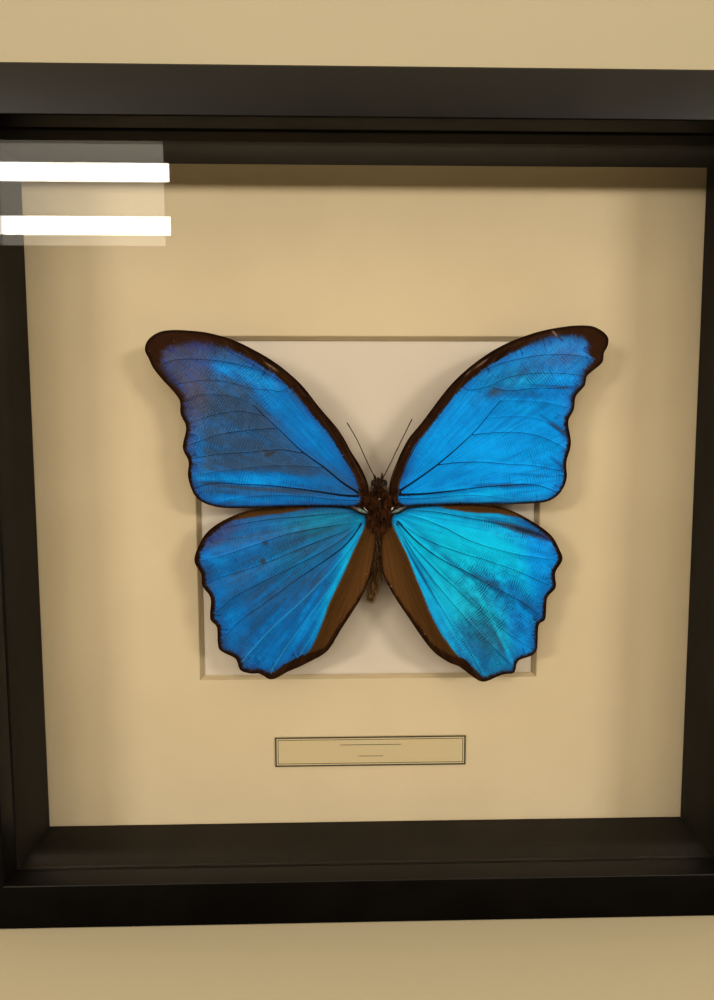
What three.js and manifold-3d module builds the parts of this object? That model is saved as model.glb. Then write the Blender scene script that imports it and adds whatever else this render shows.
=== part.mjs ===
// Framed butterfly specimen: a mitred box frame with glass, lining strips, a window mount, cards, a label
// and a back board, and one spread butterfly held on a pin in front of the card.
// Millimetres, +Z up. The front faces -Y, and depths are measured backwards from the front face.
import * as THREE from "three";
import { mergeVertices } from "three/addons/utils/BufferGeometryUtils.js";
import Module from "manifold-3d";

const manifold = await Module();
manifold.setup();

// Driving dimensions
const frameSide = 250;
const frameDepth = 48;
const faceWidth = 13.8; // rail width seen from the front
const lipDepth = 8.3; // front face to the glass seat
const wallThickness = 6.5; // rail behind the lip
const edgeRound = 0.8; // outer front edge
const arrisRound = 0.4; // inner front edge
const seatGap = 0.3; // between pieces that rest on each other
const mitreGap = 0.3;
const overrun = 1; // how far a cutting tool passes the faces it cuts
const glassThickness = 2;
const mountDepth = 35.7; // front face to the mount's front
const mountThickness = 1.6;
const windowSide = 116.8; // front edge of the bevel
const windowShift = { x: 0.3, z: -1.4 };
const bevelRun = 1.4;
const cardThickness = 1;
const pinningThickness = 3;
const backThickness = 2.5;
const labelSize = { width: 66.8, height: 10.8, thickness: 0.3 };
const labelShift = { x: 0.8, z: -85.5 };

const tabSize = { width: 8, length: 15, thickness: 0.5, driven: 4, corner: 1 };
const tabSpread = 62; // each tab's distance from its rail's middle
const slotSlack = 0.3;

const hangerSize = { width: 44, height: 8, thickness: 0.8, rise: 1.2, riseWidth: 26, slope: 3 };
const hangerDrop = 26; // from the top of the frame to the plate's middle
const toothCount = 9;
const toothSize = { width: 2.2, height: 1.6 };
const rivetSpread = 17.5;
const rivetSize = { head: 2.4, crown: 1.9, headHeight: 1, crownHeight: 0.7, shank: 1.3 };
const rivetClearance = 0.3;

const specimen = { x: 3, z: 125.9 }; // middle of the thorax
const forewing = { depth: 21.8, spread: 1.012, rise: 1.006 }; // spread and rise widen the outlines below
const hindwing = { depth: 22.8, spread: 1.012, rise: 1.014 };
const wingThickness = 0.4;
const thoraxSize = { width: 6.2, depth: 6.6, length: 12.8 };
const thoraxCentre = { depth: 24.2, z: -0.6 };
const headSize = { width: 5, depth: 4, length: 3.2 };
const headCentre = { depth: 23.4, z: 7.8 };
const pinRadius = 0.25;
const pinHead = { radius: 0.45, crown: 0.36, depth: 20.2, length: 0.7 };
const pinHeight = 3; // above the thorax's middle
const pinPoint = 1.5; // length of the tapered point
const pinEnd = 41;
const pinClearance = 0.3;

const arcSteps = 3;
const barSides = 16;
const stepsPerWingPoint = 3;

const rebateSide = frameSide - 2 * (wallThickness + seatGap);
const middleZ = frameSide / 2;
const glassDepth = lipDepth + seatGap;
const liningDepth = glassDepth + glassThickness + seatGap;
const cardDepth = mountDepth + mountThickness + seatGap;
const pinningDepth = cardDepth + cardThickness + seatGap;
const backDepth = pinningDepth + pinningThickness + seatGap;
const tabDepth = backDepth + backThickness + seatGap;
const pinPlace = { x: specimen.x, z: specimen.z + pinHeight };

const finishes = {
  blackRail: { color: 0x1b1816, roughness: 0.45, metalness: 0 },
  glass: { color: 0xdfe8e6, roughness: 0.05, metalness: 0, transparent: true, opacity: 0.25 },
  lining: { color: 0x241e19, roughness: 0.6, metalness: 0 },
  mount: { color: 0xc8b183, roughness: 0.9, metalness: 0 },
  card: { color: 0xd8c8b4, roughness: 0.9, metalness: 0 },
  foam: { color: 0xe6e2d8, roughness: 0.95, metalness: 0 },
  hardboard: { color: 0x6e4f33, roughness: 0.8, metalness: 0 },
  steel: { color: 0x9a9a96, roughness: 0.4, metalness: 1 },
  label: { color: 0xcdb787, roughness: 0.85, metalness: 0 },
  body: { color: 0x2a1c12, roughness: 0.9, metalness: 0 },
  wing: { color: 0x1e86d8, roughness: 0.45, metalness: 0.2 },
};

const model = new THREE.Group();

function yAt(depth) {
  return depth - frameDepth / 2;
}

function addPiece(name, geometry, finish, parent = model) {
  const mesh = new THREE.Mesh(geometry, new THREE.MeshStandardMaterial(finishes[finish]));
  mesh.name = name;
  parent.add(mesh);
  return mesh;
}

// A closed geometry as a solid that can be cut, and back again
function solidOf(geometry) {
  const bare = new THREE.BufferGeometry();
  bare.setAttribute("position", geometry.getAttribute("position"));
  bare.setIndex(geometry.index);
  const merged = mergeVertices(bare, 1e-4);
  return new manifold.Manifold(
    new manifold.Mesh({
      numProp: 3,
      vertProperties: new Float32Array(merged.attributes.position.array),
      triVerts: new Uint32Array(merged.index.array),
    }),
  );
}

function cut(geometry, tools) {
  let solid = solidOf(geometry);
  for (const tool of tools) {
    solid = solid.subtract(solidOf(tool));
  }
  const mesh = solid.getMesh();
  const result = new THREE.BufferGeometry();
  result.setAttribute("position", new THREE.BufferAttribute(mesh.vertProperties, 3));
  result.setIndex(new THREE.BufferAttribute(mesh.triVerts, 1));
  result.computeVertexNormals();
  return result;
}

// A square sheet that fills the rebate
function sheet(depth, thickness) {
  const middle = yAt(depth + thickness / 2);
  return new THREE.BoxGeometry(rebateSide, thickness, rebateSide).translate(0, middle, middleZ);
}

// A round bar along the depth, from one depth to another
function depthBar(radius, x, z, from, to) {
  const middle = yAt((from + to) / 2);
  return new THREE.CylinderGeometry(radius, radius, to - from, barSides).translate(x, middle, z);
}

// A flat plate that faces the front, from an outline in x and z
function plate(outline, depth, thickness) {
  return new THREE.ExtrudeGeometry(outline, { depth: thickness, bevelEnabled: false })
    .rotateX(Math.PI / 2)
    .translate(0, yAt(depth + thickness), 0);
}

// A turned shape whose axis runs backwards, from pairs of radius and depth
function turned(profile, x, z) {
  const points = profile.map(([radius, depth]) => new THREE.Vector2(radius, yAt(depth)));
  return new THREE.LatheGeometry(points, barSides).translate(x, 0, z);
}

// A profile in (distance inwards, depth), run along the bottom side with mitred ends
function mitredLength(profile) {
  const geometry = new THREE.ExtrudeGeometry(profile, {
    depth: frameSide,
    bevelEnabled: false,
    curveSegments: arcSteps,
  });
  const position = geometry.getAttribute("position");
  const endGap = mitreGap / Math.SQRT2;
  for (let i = 0; i < position.count; i++) {
    const inset = position.getX(i) + endGap;
    const atStart = position.getZ(i) < frameSide / 2;
    position.setZ(i, atStart ? inset : frameSide - inset);
  }
  const inwards = new THREE.Vector3(0, 0, 1);
  const backwards = new THREE.Vector3(0, 1, 0);
  const along = new THREE.Vector3(-1, 0, 0);
  geometry.applyMatrix4(new THREE.Matrix4().makeBasis(inwards, backwards, along));
  return geometry.translate(frameSide / 2, yAt(0), -middleZ);
}

// The four sides: each is the bottom side turned about the frame's middle
const sides = [
  { name: "bottom", turn: 0 },
  { name: "left", turn: Math.PI / 2 },
  { name: "top", turn: Math.PI },
  { name: "right", turn: -Math.PI / 2 },
];

function sideGroup(turn) {
  const group = new THREE.Group();
  group.position.z = middleZ;
  group.rotation.y = turn;
  model.add(group);
  return group;
}

function railProfile() {
  const profile = new THREE.Shape();
  profile.moveTo(0, edgeRound);
  profile.lineTo(0, frameDepth);
  profile.lineTo(wallThickness, frameDepth);
  profile.lineTo(wallThickness, lipDepth);
  profile.lineTo(faceWidth, lipDepth);
  profile.lineTo(faceWidth, arrisRound);
  profile.absarc(faceWidth - arrisRound, arrisRound, arrisRound, 0, -Math.PI / 2, true);
  profile.lineTo(edgeRound, 0);
  profile.absarc(edgeRound, edgeRound, edgeRound, -Math.PI / 2, -Math.PI, true);
  return profile;
}

function liningProfile() {
  const profile = new THREE.Shape();
  profile.moveTo(wallThickness + seatGap, liningDepth);
  profile.lineTo(faceWidth, liningDepth);
  profile.lineTo(faceWidth, mountDepth - seatGap);
  profile.lineTo(wallThickness + seatGap, mountDepth - seatGap);
  profile.closePath();
  return profile;
}

// A steel point: its tip is driven into the rail, and its tail lies over the back board
function tabOutline() {
  const half = tabSize.width / 2;
  const corner = tabSize.corner;
  const outline = new THREE.Shape();
  outline.moveTo(0, 0);
  outline.lineTo(half, tabSize.driven - corner);
  outline.lineTo(half, tabSize.length - corner);
  outline.lineTo(half - corner, tabSize.length);
  outline.lineTo(corner - half, tabSize.length);
  outline.lineTo(-half, tabSize.length - corner);
  outline.lineTo(-half, tabSize.driven - corner);
  outline.closePath();
  return outline;
}

function tabSlot(x) {
  const depth = tabSize.driven + slotSlack + seatGap;
  return new THREE.BoxGeometry(tabSize.width + 2 * slotSlack, tabSize.thickness + 2 * slotSlack, depth)
    .translate(x, yAt(tabDepth + tabSize.thickness / 2), wallThickness - depth / 2 + seatGap - middleZ);
}

let tabNumber = 0;
for (const side of sides) {
  const group = sideGroup(side.turn);
  const tabPlaces = [-tabSpread, tabSpread];
  const rail = cut(mitredLength(railProfile()), tabPlaces.map(tabSlot));
  addPiece("rail_" + side.name, rail, "blackRail", group);
  addPiece("lining_" + side.name, mitredLength(liningProfile()), "lining", group);
  for (const x of tabPlaces) {
    tabNumber += 1;
    const tab = plate(tabOutline(), tabDepth, tabSize.thickness);
    tab.translate(x, 0, wallThickness - tabSize.driven - middleZ);
    addPiece("retaining_tab_" + tabNumber, tab, "steel", group);
  }
}

addPiece("glass_pane", sheet(glassDepth, glassThickness), "glass");

// The window's bevel: a square frustum, wider at the front
function windowCutter() {
  const slope = bevelRun / mountThickness;
  const front = (windowSide / 2 + overrun * slope) * Math.SQRT2;
  const rear = (windowSide / 2 - bevelRun - overrun * slope) * Math.SQRT2;
  return new THREE.CylinderGeometry(rear, front, mountThickness + 2 * overrun, 4, 1)
    .rotateY(Math.PI / 4)
    .translate(windowShift.x, yAt(mountDepth + mountThickness / 2), middleZ + windowShift.z);
}

addPiece("mount_board", cut(sheet(mountDepth, mountThickness), [windowCutter()]), "mount");

function pinHole(from, to) {
  return depthBar(pinRadius + pinClearance, pinPlace.x, pinPlace.z, from, to);
}

const cardHole = pinHole(cardDepth - overrun, cardDepth + cardThickness + overrun);
addPiece("window_card", cut(sheet(cardDepth, cardThickness), [cardHole]), "card");

const pinningHole = pinHole(pinningDepth - overrun, pinEnd + pinClearance);
addPiece("pinning_board", cut(sheet(pinningDepth, pinningThickness), [pinningHole]), "foam");

const label = new THREE.BoxGeometry(labelSize.width, labelSize.thickness, labelSize.height);
label.translate(labelShift.x, yAt(mountDepth - seatGap - labelSize.thickness / 2), middleZ + labelShift.z);
addPiece("label", label, "label");

// Back board with its hanging plate
const hangerZ = frameSide - hangerDrop;
const rivetPlaces = { left: -rivetSpread, right: rivetSpread };
const hangerRear = tabDepth + hangerSize.thickness;

function rivetHole(x) {
  const radius = rivetSize.shank + rivetClearance;
  return depthBar(radius, x, hangerZ, backDepth - overrun, hangerRear + overrun);
}

const rivetHoles = Object.values(rivetPlaces).map(rivetHole);
addPiece("back_board", cut(sheet(backDepth, backThickness), rivetHoles), "hardboard");

// A strip whose middle stands off the board, seen from above
function hangerStrip() {
  const half = hangerSize.width / 2;
  const crest = hangerSize.riseWidth / 2;
  const foot = crest + hangerSize.slope;
  const bends = [[-half, 0], [-foot, 0], [-crest, 1], [crest, 1], [foot, 0], [half, 0]];
  const under = bends.map(([x, lift]) => new THREE.Vector2(x, lift * hangerSize.rise));
  const over = bends.map(([x, lift]) => new THREE.Vector2(x, lift * hangerSize.rise + hangerSize.thickness));
  const outline = new THREE.Shape(under.concat(over.reverse()));
  return new THREE.ExtrudeGeometry(outline, { depth: hangerSize.height, bevelEnabled: false })
    .translate(0, yAt(tabDepth), hangerZ - hangerSize.height / 2);
}

function toothCutter(index) {
  const x = (index - (toothCount - 1) / 2) * toothSize.width;
  const bottom = hangerZ - hangerSize.height / 2;
  const notch = new THREE.Shape();
  notch.moveTo(x - toothSize.width / 2, bottom - toothSize.height);
  notch.lineTo(x + toothSize.width / 2, bottom - toothSize.height);
  notch.lineTo(x, bottom + toothSize.height);
  notch.closePath();
  return plate(notch, tabDepth - overrun, hangerSize.rise + hangerSize.thickness + 2 * overrun);
}

const teeth = Array.from({ length: toothCount }, (_, index) => toothCutter(index));
addPiece("hanging_plate", cut(hangerStrip(), rivetHoles.concat(teeth)), "steel");

for (const [side, x] of Object.entries(rivetPlaces)) {
  const headStart = hangerRear + seatGap;
  const profile = [
    [0, backDepth + seatGap],
    [rivetSize.shank, backDepth + seatGap],
    [rivetSize.shank, headStart],
    [rivetSize.head, headStart],
    [rivetSize.crown, headStart + rivetSize.crownHeight],
    [0, headStart + rivetSize.headHeight],
  ];
  addPiece("hanging_rivet_" + side, turned(profile, x, hangerZ), "steel");
}

// The insect: places are offsets from the middle of the thorax, outwards and upwards
function ellipsoid(size, centre) {
  return new THREE.SphereGeometry(0.5, 20, 14)
    .rotateX(Math.PI / 2)
    .scale(size.width, size.depth, size.length)
    .translate(specimen.x, yAt(centre.depth), specimen.z + centre.z);
}

const thoraxHole = pinHole(pinHead.depth, cardDepth);
addPiece("thorax", cut(ellipsoid(thoraxSize, thoraxCentre), [thoraxHole]), "body");
addPiece("head", ellipsoid(headSize, headCentre), "body");

const pinHeadEnd = pinHead.depth + pinHead.length;
const pinProfile = [
  [0, pinHead.depth],
  [pinHead.crown, pinHead.depth + pinHead.length / 6],
  [pinHead.radius, pinHead.depth + pinHead.length / 2],
  [pinHead.crown, pinHeadEnd - pinHead.length / 6],
  [pinRadius, pinHeadEnd],
  [pinRadius, pinEnd - pinPoint],
  [0, pinEnd],
];
addPiece("mounting_pin", turned(pinProfile, pinPlace.x, pinPlace.z), "steel");

// A slender round shape along a curve, from pairs of place along it (0 to 1) and radius
function sweptRound(profile, route, steps) {
  const points = profile.map(([along, radius]) => new THREE.Vector2(radius, along));
  const geometry = new THREE.LatheGeometry(points, steps);
  const curve = new THREE.CatmullRomCurve3(
    route.map(([x, depth, z]) => new THREE.Vector3(specimen.x + x, yAt(depth), specimen.z + z)),
  );
  const backwards = new THREE.Vector3(0, 1, 0);
  const position = geometry.getAttribute("position");
  for (let i = 0; i < position.count; i++) {
    const along = THREE.MathUtils.clamp(position.getY(i), 0, 1);
    const tangent = curve.getTangent(along);
    const sideways = new THREE.Vector3().crossVectors(tangent, backwards).normalize();
    const across = new THREE.Vector3().crossVectors(sideways, tangent);
    const point = curve.getPoint(along)
      .addScaledVector(sideways, position.getX(i))
      .addScaledVector(across, position.getZ(i));
    position.setXYZ(i, point.x, point.y, point.z);
  }
  return geometry;
}

const abdomenProfile = [
  [0, 0], [0.02, 1], [0.1, 1.6], [0.25, 2], [0.45, 2], [0.65, 1.8], [0.82, 1.4], [0.94, 0.9], [1, 0],
];
const abdomenRoute = [[0, 26, -7.4], [-0.4, 27.2, -16], [-1.2, 28.6, -25], [-2.7, 30, -32]];
addPiece("abdomen", sweptRound(abdomenProfile, abdomenRoute, 16), "body");

const antennaProfile = [[0, 0], [0.01, 0.25], [0.3, 0.2], [0.82, 0.2], [0.93, 0.34], [0.98, 0.3], [1, 0]];
const antennaRoutes = {
  left: [[-1.4, 22.6, 9.5], [-4.2, 22, 15.6], [-7, 21.4, 21.7], [-10.2, 20.8, 27.2]],
  right: [[1.4, 22.6, 9.5], [3.5, 22, 14], [5.7, 21.6, 18.7], [10.4, 20.8, 28.4]],
};
for (const [side, route] of Object.entries(antennaRoutes)) {
  addPiece("antenna_" + side, sweptRound(antennaProfile, route, 8), "body");
}

// Wing outlines run from the root along the leading edge to the tip and back
const wingOutlines = {
  forewing_left: [
    [3.4, 1], [3.3, 6.6], [4.7, 10.8], [6.5, 14.3], [8.9, 18.1], [11, 22], [13.6, 25.9], [18.9, 32.1],
    [24.2, 38.8], [31.2, 44.9], [38.9, 49.6], [46.4, 53], [54.1, 54.9], [61.7, 55.5], [67.3, 54.9],
    [70.8, 52.6], [72, 49.5], [70.9, 46.6], [69.6, 43.8], [66.8, 40.2], [63.9, 36.9], [61.8, 33.8],
    [61.7, 29.8], [60, 25.4], [61.2, 19.4], [59.5, 14.9], [59.8, 10.2], [58.2, 4.9], [55.2, 2],
    [49.7, 0.4], [41.2, 0.2], [23.8, 0.6], [8, 0.4],
  ],
  forewing_right: [
    [3.4, 1], [3.2, 6.5], [4, 10.3], [5.6, 14.6], [7.4, 18.6], [9.6, 22.4], [13.7, 27.4], [21.8, 38],
    [29.2, 45], [37.6, 50.5], [47.1, 54.4], [56.5, 56.6], [64.5, 57.1], [68.3, 56.1], [71.3, 53.6],
    [71.5, 50.9], [70.4, 48.6], [69.9, 45.8], [67.1, 43.2], [65.2, 41.4], [64.4, 38.4], [61.8, 35.3],
    [61.2, 31.1], [59.4, 27.1], [60.6, 20.8], [59.4, 14.8], [59.7, 9.8], [58.3, 5.8], [56.1, 3.2],
    [52.1, 1.6], [41.6, 1.1], [25.7, 1.1], [8.4, 0.5],
  ],
  hindwing_left: [
    [3.4, -0.6], [10, 0.2], [17.5, 0.8], [31.7, 0.2], [41.2, -0.8], [47.4, -2.9], [53, -6.2],
    [56.6, -10.5], [58.6, -16.4], [56.6, -20.8], [56.3, -24.8], [53.8, -28.9], [54, -35.4],
    [52, -38.3], [51.7, -44.4], [50.2, -46.3], [46.2, -48.5], [44.8, -52.2], [41.5, -53.4],
    [38.6, -53.6], [34.8, -55.5], [29.4, -53], [24.3, -50.8], [17, -46.4], [12.1, -39], [8.4, -33.4],
    [5, -27.6], [2.2, -20], [1.2, -12], [0.9, -7.6], [3.6, -5.6],
  ],
  hindwing_right: [
    [3.4, -0.6], [10, 0.2], [17.7, 0.9], [33.6, 0.8], [41.6, -0.8], [49.8, -5], [55.6, -9.3],
    [58.1, -13.5], [59.2, -17.1], [56.9, -21.4], [57.2, -26.2], [54.6, -29.7], [54.1, -36.3],
    [51.9, -38.6], [51.7, -45.8], [50, -48.3], [45.6, -50.3], [44.2, -54], [41, -54.7], [34.5, -57],
    [30.5, -55.2], [26.3, -51.8], [22.2, -50.1], [16.5, -45.4], [9.8, -35.9], [3.8, -26.6], [1, -20],
    [0.6, -12], [1.4, -7.6], [3.6, -5.6],
  ],
};

for (const [name, outline] of Object.entries(wingOutlines)) {
  const outwards = name.endsWith("left") ? -1 : 1;
  const { spread, rise, depth } = name.startsWith("fore") ? forewing : hindwing;
  const points = outline.map(
    ([x, z]) => new THREE.Vector2(specimen.x + outwards * x * spread, specimen.z + z * rise),
  );
  const edge = new THREE.SplineCurve(points).getPoints((points.length - 1) * stepsPerWingPoint);
  addPiece(name, plate(new THREE.Shape(edge), depth, wingThickness), "wing");
}

export default model;
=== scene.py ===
import math
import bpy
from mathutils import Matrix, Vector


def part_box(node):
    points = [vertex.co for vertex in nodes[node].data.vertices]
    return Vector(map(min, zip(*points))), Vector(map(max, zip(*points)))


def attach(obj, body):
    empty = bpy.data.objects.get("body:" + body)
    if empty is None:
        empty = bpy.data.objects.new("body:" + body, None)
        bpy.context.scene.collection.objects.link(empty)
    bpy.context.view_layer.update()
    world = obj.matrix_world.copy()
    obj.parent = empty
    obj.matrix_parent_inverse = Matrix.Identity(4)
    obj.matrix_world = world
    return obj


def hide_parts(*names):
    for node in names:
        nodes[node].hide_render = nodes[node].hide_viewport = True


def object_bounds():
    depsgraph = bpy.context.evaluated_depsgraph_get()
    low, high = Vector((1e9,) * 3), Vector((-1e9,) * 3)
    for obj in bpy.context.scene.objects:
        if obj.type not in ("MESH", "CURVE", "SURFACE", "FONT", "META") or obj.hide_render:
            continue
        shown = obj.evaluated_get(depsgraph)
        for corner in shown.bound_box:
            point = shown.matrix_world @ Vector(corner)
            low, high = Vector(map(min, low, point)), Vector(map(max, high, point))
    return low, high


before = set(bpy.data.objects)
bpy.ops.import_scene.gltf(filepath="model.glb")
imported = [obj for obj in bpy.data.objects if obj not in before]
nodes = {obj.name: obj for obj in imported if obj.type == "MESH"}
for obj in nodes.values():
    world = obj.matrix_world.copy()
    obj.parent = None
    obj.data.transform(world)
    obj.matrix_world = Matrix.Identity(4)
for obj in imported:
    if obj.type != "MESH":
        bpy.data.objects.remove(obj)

from types import SimpleNamespace

import bmesh
import bpy
import numpy as np
from mathutils import Euler, Matrix, Vector
from mathutils.geometry import delaunay_2d_cdt

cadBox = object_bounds()
mm = 0.001
frontY = cadBox[0][1]
frameSide = cadBox[1][0] - cadBox[0][0]
frameDepth = cadBox[1][1] - cadBox[0][1]
middleZ = frameSide / 2
bpy.context.scene.view_settings.view_transform = "Standard"
bpy.context.scene.view_settings.look = "High Contrast"
print("frame loaded:", len(nodes), "pieces")


# camera: it looks a little down from above the middle

cameraSettings = {
    "place": (-9.18, -232.87, 146.65),  # mm, as the lens, sensor and nearest distance
    "lookDown": 5.38,  # degrees
    "lookRight": 1.455,
    "roll": -0.126,
    "lens": 26.02,
    "sensor": 36,
    "nearest": 10,
    "shift": (-0.0023, 0.0111),  # in sensor widths
}


def makeCamera(settings):
    data = bpy.data.cameras.new("frontCamera")
    data.lens = settings["lens"]
    data.sensor_width = settings["sensor"]
    data.shift_x, data.shift_y = settings["shift"]
    data.clip_start = settings["nearest"] * mm
    camera = bpy.data.objects.new("frontCamera", data)
    turn = Euler((math.radians(90 - settings["lookDown"]), 0, math.radians(-settings["lookRight"])))
    roll = Matrix.Rotation(math.radians(settings["roll"]), 4, "Z")
    place = Matrix.Translation(Vector(settings["place"]) * mm)
    camera.matrix_world = place @ turn.to_matrix().to_4x4() @ roll
    bpy.context.scene.collection.objects.link(camera)
    bpy.context.scene.camera = camera


makeCamera(cameraSettings)


# node trees: sums on sockets are written as Python sums

class Wire:  # an output socket that takes part in sums
    def __init__(self, graph, socket):
        self.graph = graph
        self.socket = socket

    def maths(self, operation, a, b=0.0):
        return self.graph.add("ShaderNodeMath", {"operation": operation}, {0: a, 1: b})

    def __add__(self, other):
        return self.maths("ADD", self, other)

    def __radd__(self, other):
        return self.maths("ADD", other, self)

    def __sub__(self, other):
        return self.maths("SUBTRACT", self, other)

    def __rsub__(self, other):
        return self.maths("SUBTRACT", other, self)

    def __mul__(self, other):
        return self.maths("MULTIPLY", self, other)

    def __rmul__(self, other):
        return self.maths("MULTIPLY", other, self)

    def __pow__(self, other):
        return self.maths("POWER", self, other)

    def __abs__(self):
        return self.maths("ABSOLUTE", self)

    def least(self, other):
        return self.maths("MINIMUM", self, other)

    def most(self, other):
        return self.maths("MAXIMUM", self, other)

    def step(self, low, high):  # 0 below low, 1 above high, smooth between
        sockets = {"Value": self, "From Min": low, "From Max": high}
        return self.graph.add("ShaderNodeMapRange", {"interpolation_type": "SMOOTHSTEP"}, sockets)

    def lower(self, low, high):  # 1 below low, 0 above high
        return 1 - self.step(low, high)

    def swing(self, amount):  # a noise about its middle value
        return (self - 0.5) * amount

    def twin(self, name):  # another output of the same node
        return Wire(self.graph, self.socket.node.outputs[name])


class Graph:  # a material, world or geometry tree under construction
    def __init__(self, tree):
        self.tree = tree

    def add(self, kind, settings=None, sockets=None, out=0):
        node = self.tree.nodes.new(kind)
        for name, value in (settings or {}).items():
            setattr(node, name, value)
        for name, value in (sockets or {}).items():
            socket = node.inputs[name]
            if isinstance(value, Wire):
                self.tree.links.new(value.socket, socket)
            elif value is not None:
                socket.default_value = value
        return Wire(self, node.outputs[out]) if len(node.outputs) else node

    def attribute(self, name):
        return self.add("ShaderNodeAttribute", {"attribute_name": name}, out="Fac")

    def place(self, scale=(1, 1, 1)):  # object coordinates in mm, stretched
        spot = self.add("ShaderNodeTexCoord", out="Object")
        size = tuple(s / mm for s in scale)
        return self.add("ShaderNodeMapping", {}, {"Vector": spot, "Scale": size})

    def noise(self, vector, scale=1.0, detail=3.0, roughness=0.55, distortion=0.0):
        sockets = {"Vector": vector, "Scale": scale, "Detail": detail, "Roughness": roughness}
        sockets["Distortion"] = distortion
        return self.add("ShaderNodeTexNoise", {}, sockets, out="Fac")

    def cells(self, scale, out="Distance"):
        return self.add("ShaderNodeTexVoronoi", {}, {"Vector": self.place(), "Scale": scale}, out=out)

    def blend(self, factor, first, second):  # colours
        node = self.tree.nodes.new("ShaderNodeMix")
        node.data_type = "RGBA"
        node.clamp_factor = True
        ins = [s for s in node.inputs if s.enabled]
        for socket, value in zip(ins, (factor, first, second)):
            if isinstance(value, Wire):
                self.tree.links.new(value.socket, socket)
            elif isinstance(value, (int, float)):
                socket.default_value = value
            else:
                socket.default_value = (*value, 1)
        return Wire(self, next(s for s in node.outputs if s.enabled))

    def layered(self, colour, layers):  # more colours over one, each with its factor before it
        for factor, over in layers:
            colour = self.blend(factor, colour, over)
        return colour

    def join(self, x, y, z=0.0):
        return self.add("ShaderNodeCombineXYZ", {}, {"X": x, "Y": y, "Z": z})

    def split(self, vector):
        first = self.add("ShaderNodeSeparateXYZ", {}, {"Vector": vector})
        return [Wire(self, socket) for socket in first.socket.node.outputs]


class Finish(Graph):  # one material
    def __init__(self, name):
        self.material = bpy.data.materials.new(name)
        self.material.use_nodes = True
        super().__init__(self.material.node_tree)
        self.tree.nodes.clear()

    def bump(self, height, distance, strength=1.0):  # distance in mm
        sockets = {"Height": height, "Distance": distance * mm, "Strength": strength}
        return self.add("ShaderNodeBump", {}, sockets)

    def surface(self, **sockets):
        named = {name.replace("_", " "): value for name, value in sockets.items()}
        shader = self.add("ShaderNodeBsdfPrincipled", {}, named)
        self.add("ShaderNodeOutputMaterial", {}, {"Surface": shader})
        return self.material


# finishes of the frame

def blackFoil():
    f = Finish("blackFoil")
    spot = f.place()
    grain = f.noise(spot, 2.6, 4.0, 0.6)
    smear = f.noise(spot, 0.035, 3.0, 0.6, 0.6)
    dust = f.noise(spot, 0.9, 2.0, 0.7).step(0.7, 0.78)
    dark = f.blend(smear.step(0.3, 0.7), (0.0042, 0.003, 0.002), (0.0065, 0.0045, 0.0028))
    colour = f.blend(dust * 0.25, dark, (0.06, 0.05, 0.035))
    rough = 0.36 + 0.12 * smear + 0.05 * grain
    return f.surface(
        Base_Color=colour, Roughness=rough, Normal=f.bump(grain, 0.02, 0.5),
        IOR=1.45, Specular_IOR_Level=0.55,
    )


def darkLining():
    f = Finish("darkLining")
    spot = f.place()
    fibre = f.noise(spot, 3.0, 4.0, 0.65)
    cloud = f.noise(spot, 0.05, 2.0)
    colour = f.blend(cloud.step(0.3, 0.7), (0.0145, 0.011, 0.0066), (0.0215, 0.0162, 0.0104))
    return f.surface(
        Base_Color=colour, Roughness=0.62 + 0.12 * fibre, Normal=f.bump(fibre, 0.04, 0.5),
        Specular_IOR_Level=0.4,
    )


def clearGlass():  # it lets the lamps' light through unbent
    f = Finish("clearGlass")
    glass = f.add("ShaderNodeBsdfPrincipled", {}, {
        "Base Color": (0.985, 0.995, 0.99, 1), "Roughness": 0.0, "IOR": 1.5, "Transmission Weight": 1.0,
    })
    unbent = f.add("ShaderNodeBsdfTransparent", {}, {"Color": (0.97, 0.98, 0.975, 1)})
    shadow = f.add("ShaderNodeLightPath", out="Is Shadow Ray")
    lit = shadow.most(shadow.twin("Is Diffuse Ray"))
    mix = f.add("ShaderNodeMixShader", {}, {0: lit, 1: glass, 2: unbent})
    f.add("ShaderNodeOutputMaterial", {}, {"Surface": mix})
    return f.material


def mountPaper():
    f = Finish("mountPaper")
    spot = f.place()
    fibre = f.noise(spot, 2.2, 5.0, 0.7)
    fleck = f.noise(spot, 1.1, 2.0, 0.6).step(0.66, 0.74)
    cloud = f.noise(spot, 0.018, 2.0)
    colour = f.layered(f.blend(cloud.step(0.3, 0.7), (0.47, 0.388, 0.285), (0.495, 0.41, 0.303)), [
        (fibre.step(0.35, 0.75) * 0.16, (0.4, 0.325, 0.235)),
        (fleck * 0.22, (0.34, 0.265, 0.18)),
    ])
    return f.surface(
        Base_Color=colour, Roughness=0.86 + 0.1 * fibre, Normal=f.bump(fibre, 0.05, 0.45),
        Specular_IOR_Level=0.25,
    )


def bevelCore():
    f = Finish("bevelCore")
    spot = f.place()
    fibre = f.noise(spot, 4.0, 4.0, 0.7)
    ply = f.noise(f.place((0.1, 4.0, 0.1)), 1.0, 2.0)
    colour = f.blend(fibre.step(0.3, 0.7), (0.4, 0.32, 0.215), (0.48, 0.39, 0.27))
    colour = f.blend(ply.step(0.4, 0.6) * 0.3, colour, (0.3, 0.23, 0.15))
    return f.surface(Base_Color=colour, Roughness=0.92, Normal=f.bump(fibre, 0.05, 0.6))


def paleCard():
    f = Finish("paleCard")
    spot = f.place()
    fibre = f.noise(spot, 1.8, 5.0, 0.7)
    cloud = f.noise(spot, 0.03, 2.0)
    colour = f.blend(cloud.step(0.3, 0.7), (0.483, 0.42, 0.37), (0.503, 0.438, 0.387))
    colour = f.blend(fibre.step(0.4, 0.75) * 0.1, colour, (0.38, 0.325, 0.28))
    return f.surface(
        Base_Color=colour, Roughness=0.85 + 0.1 * fibre, Normal=f.bump(fibre, 0.04, 0.4),
        Specular_IOR_Level=0.25,
    )


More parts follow.
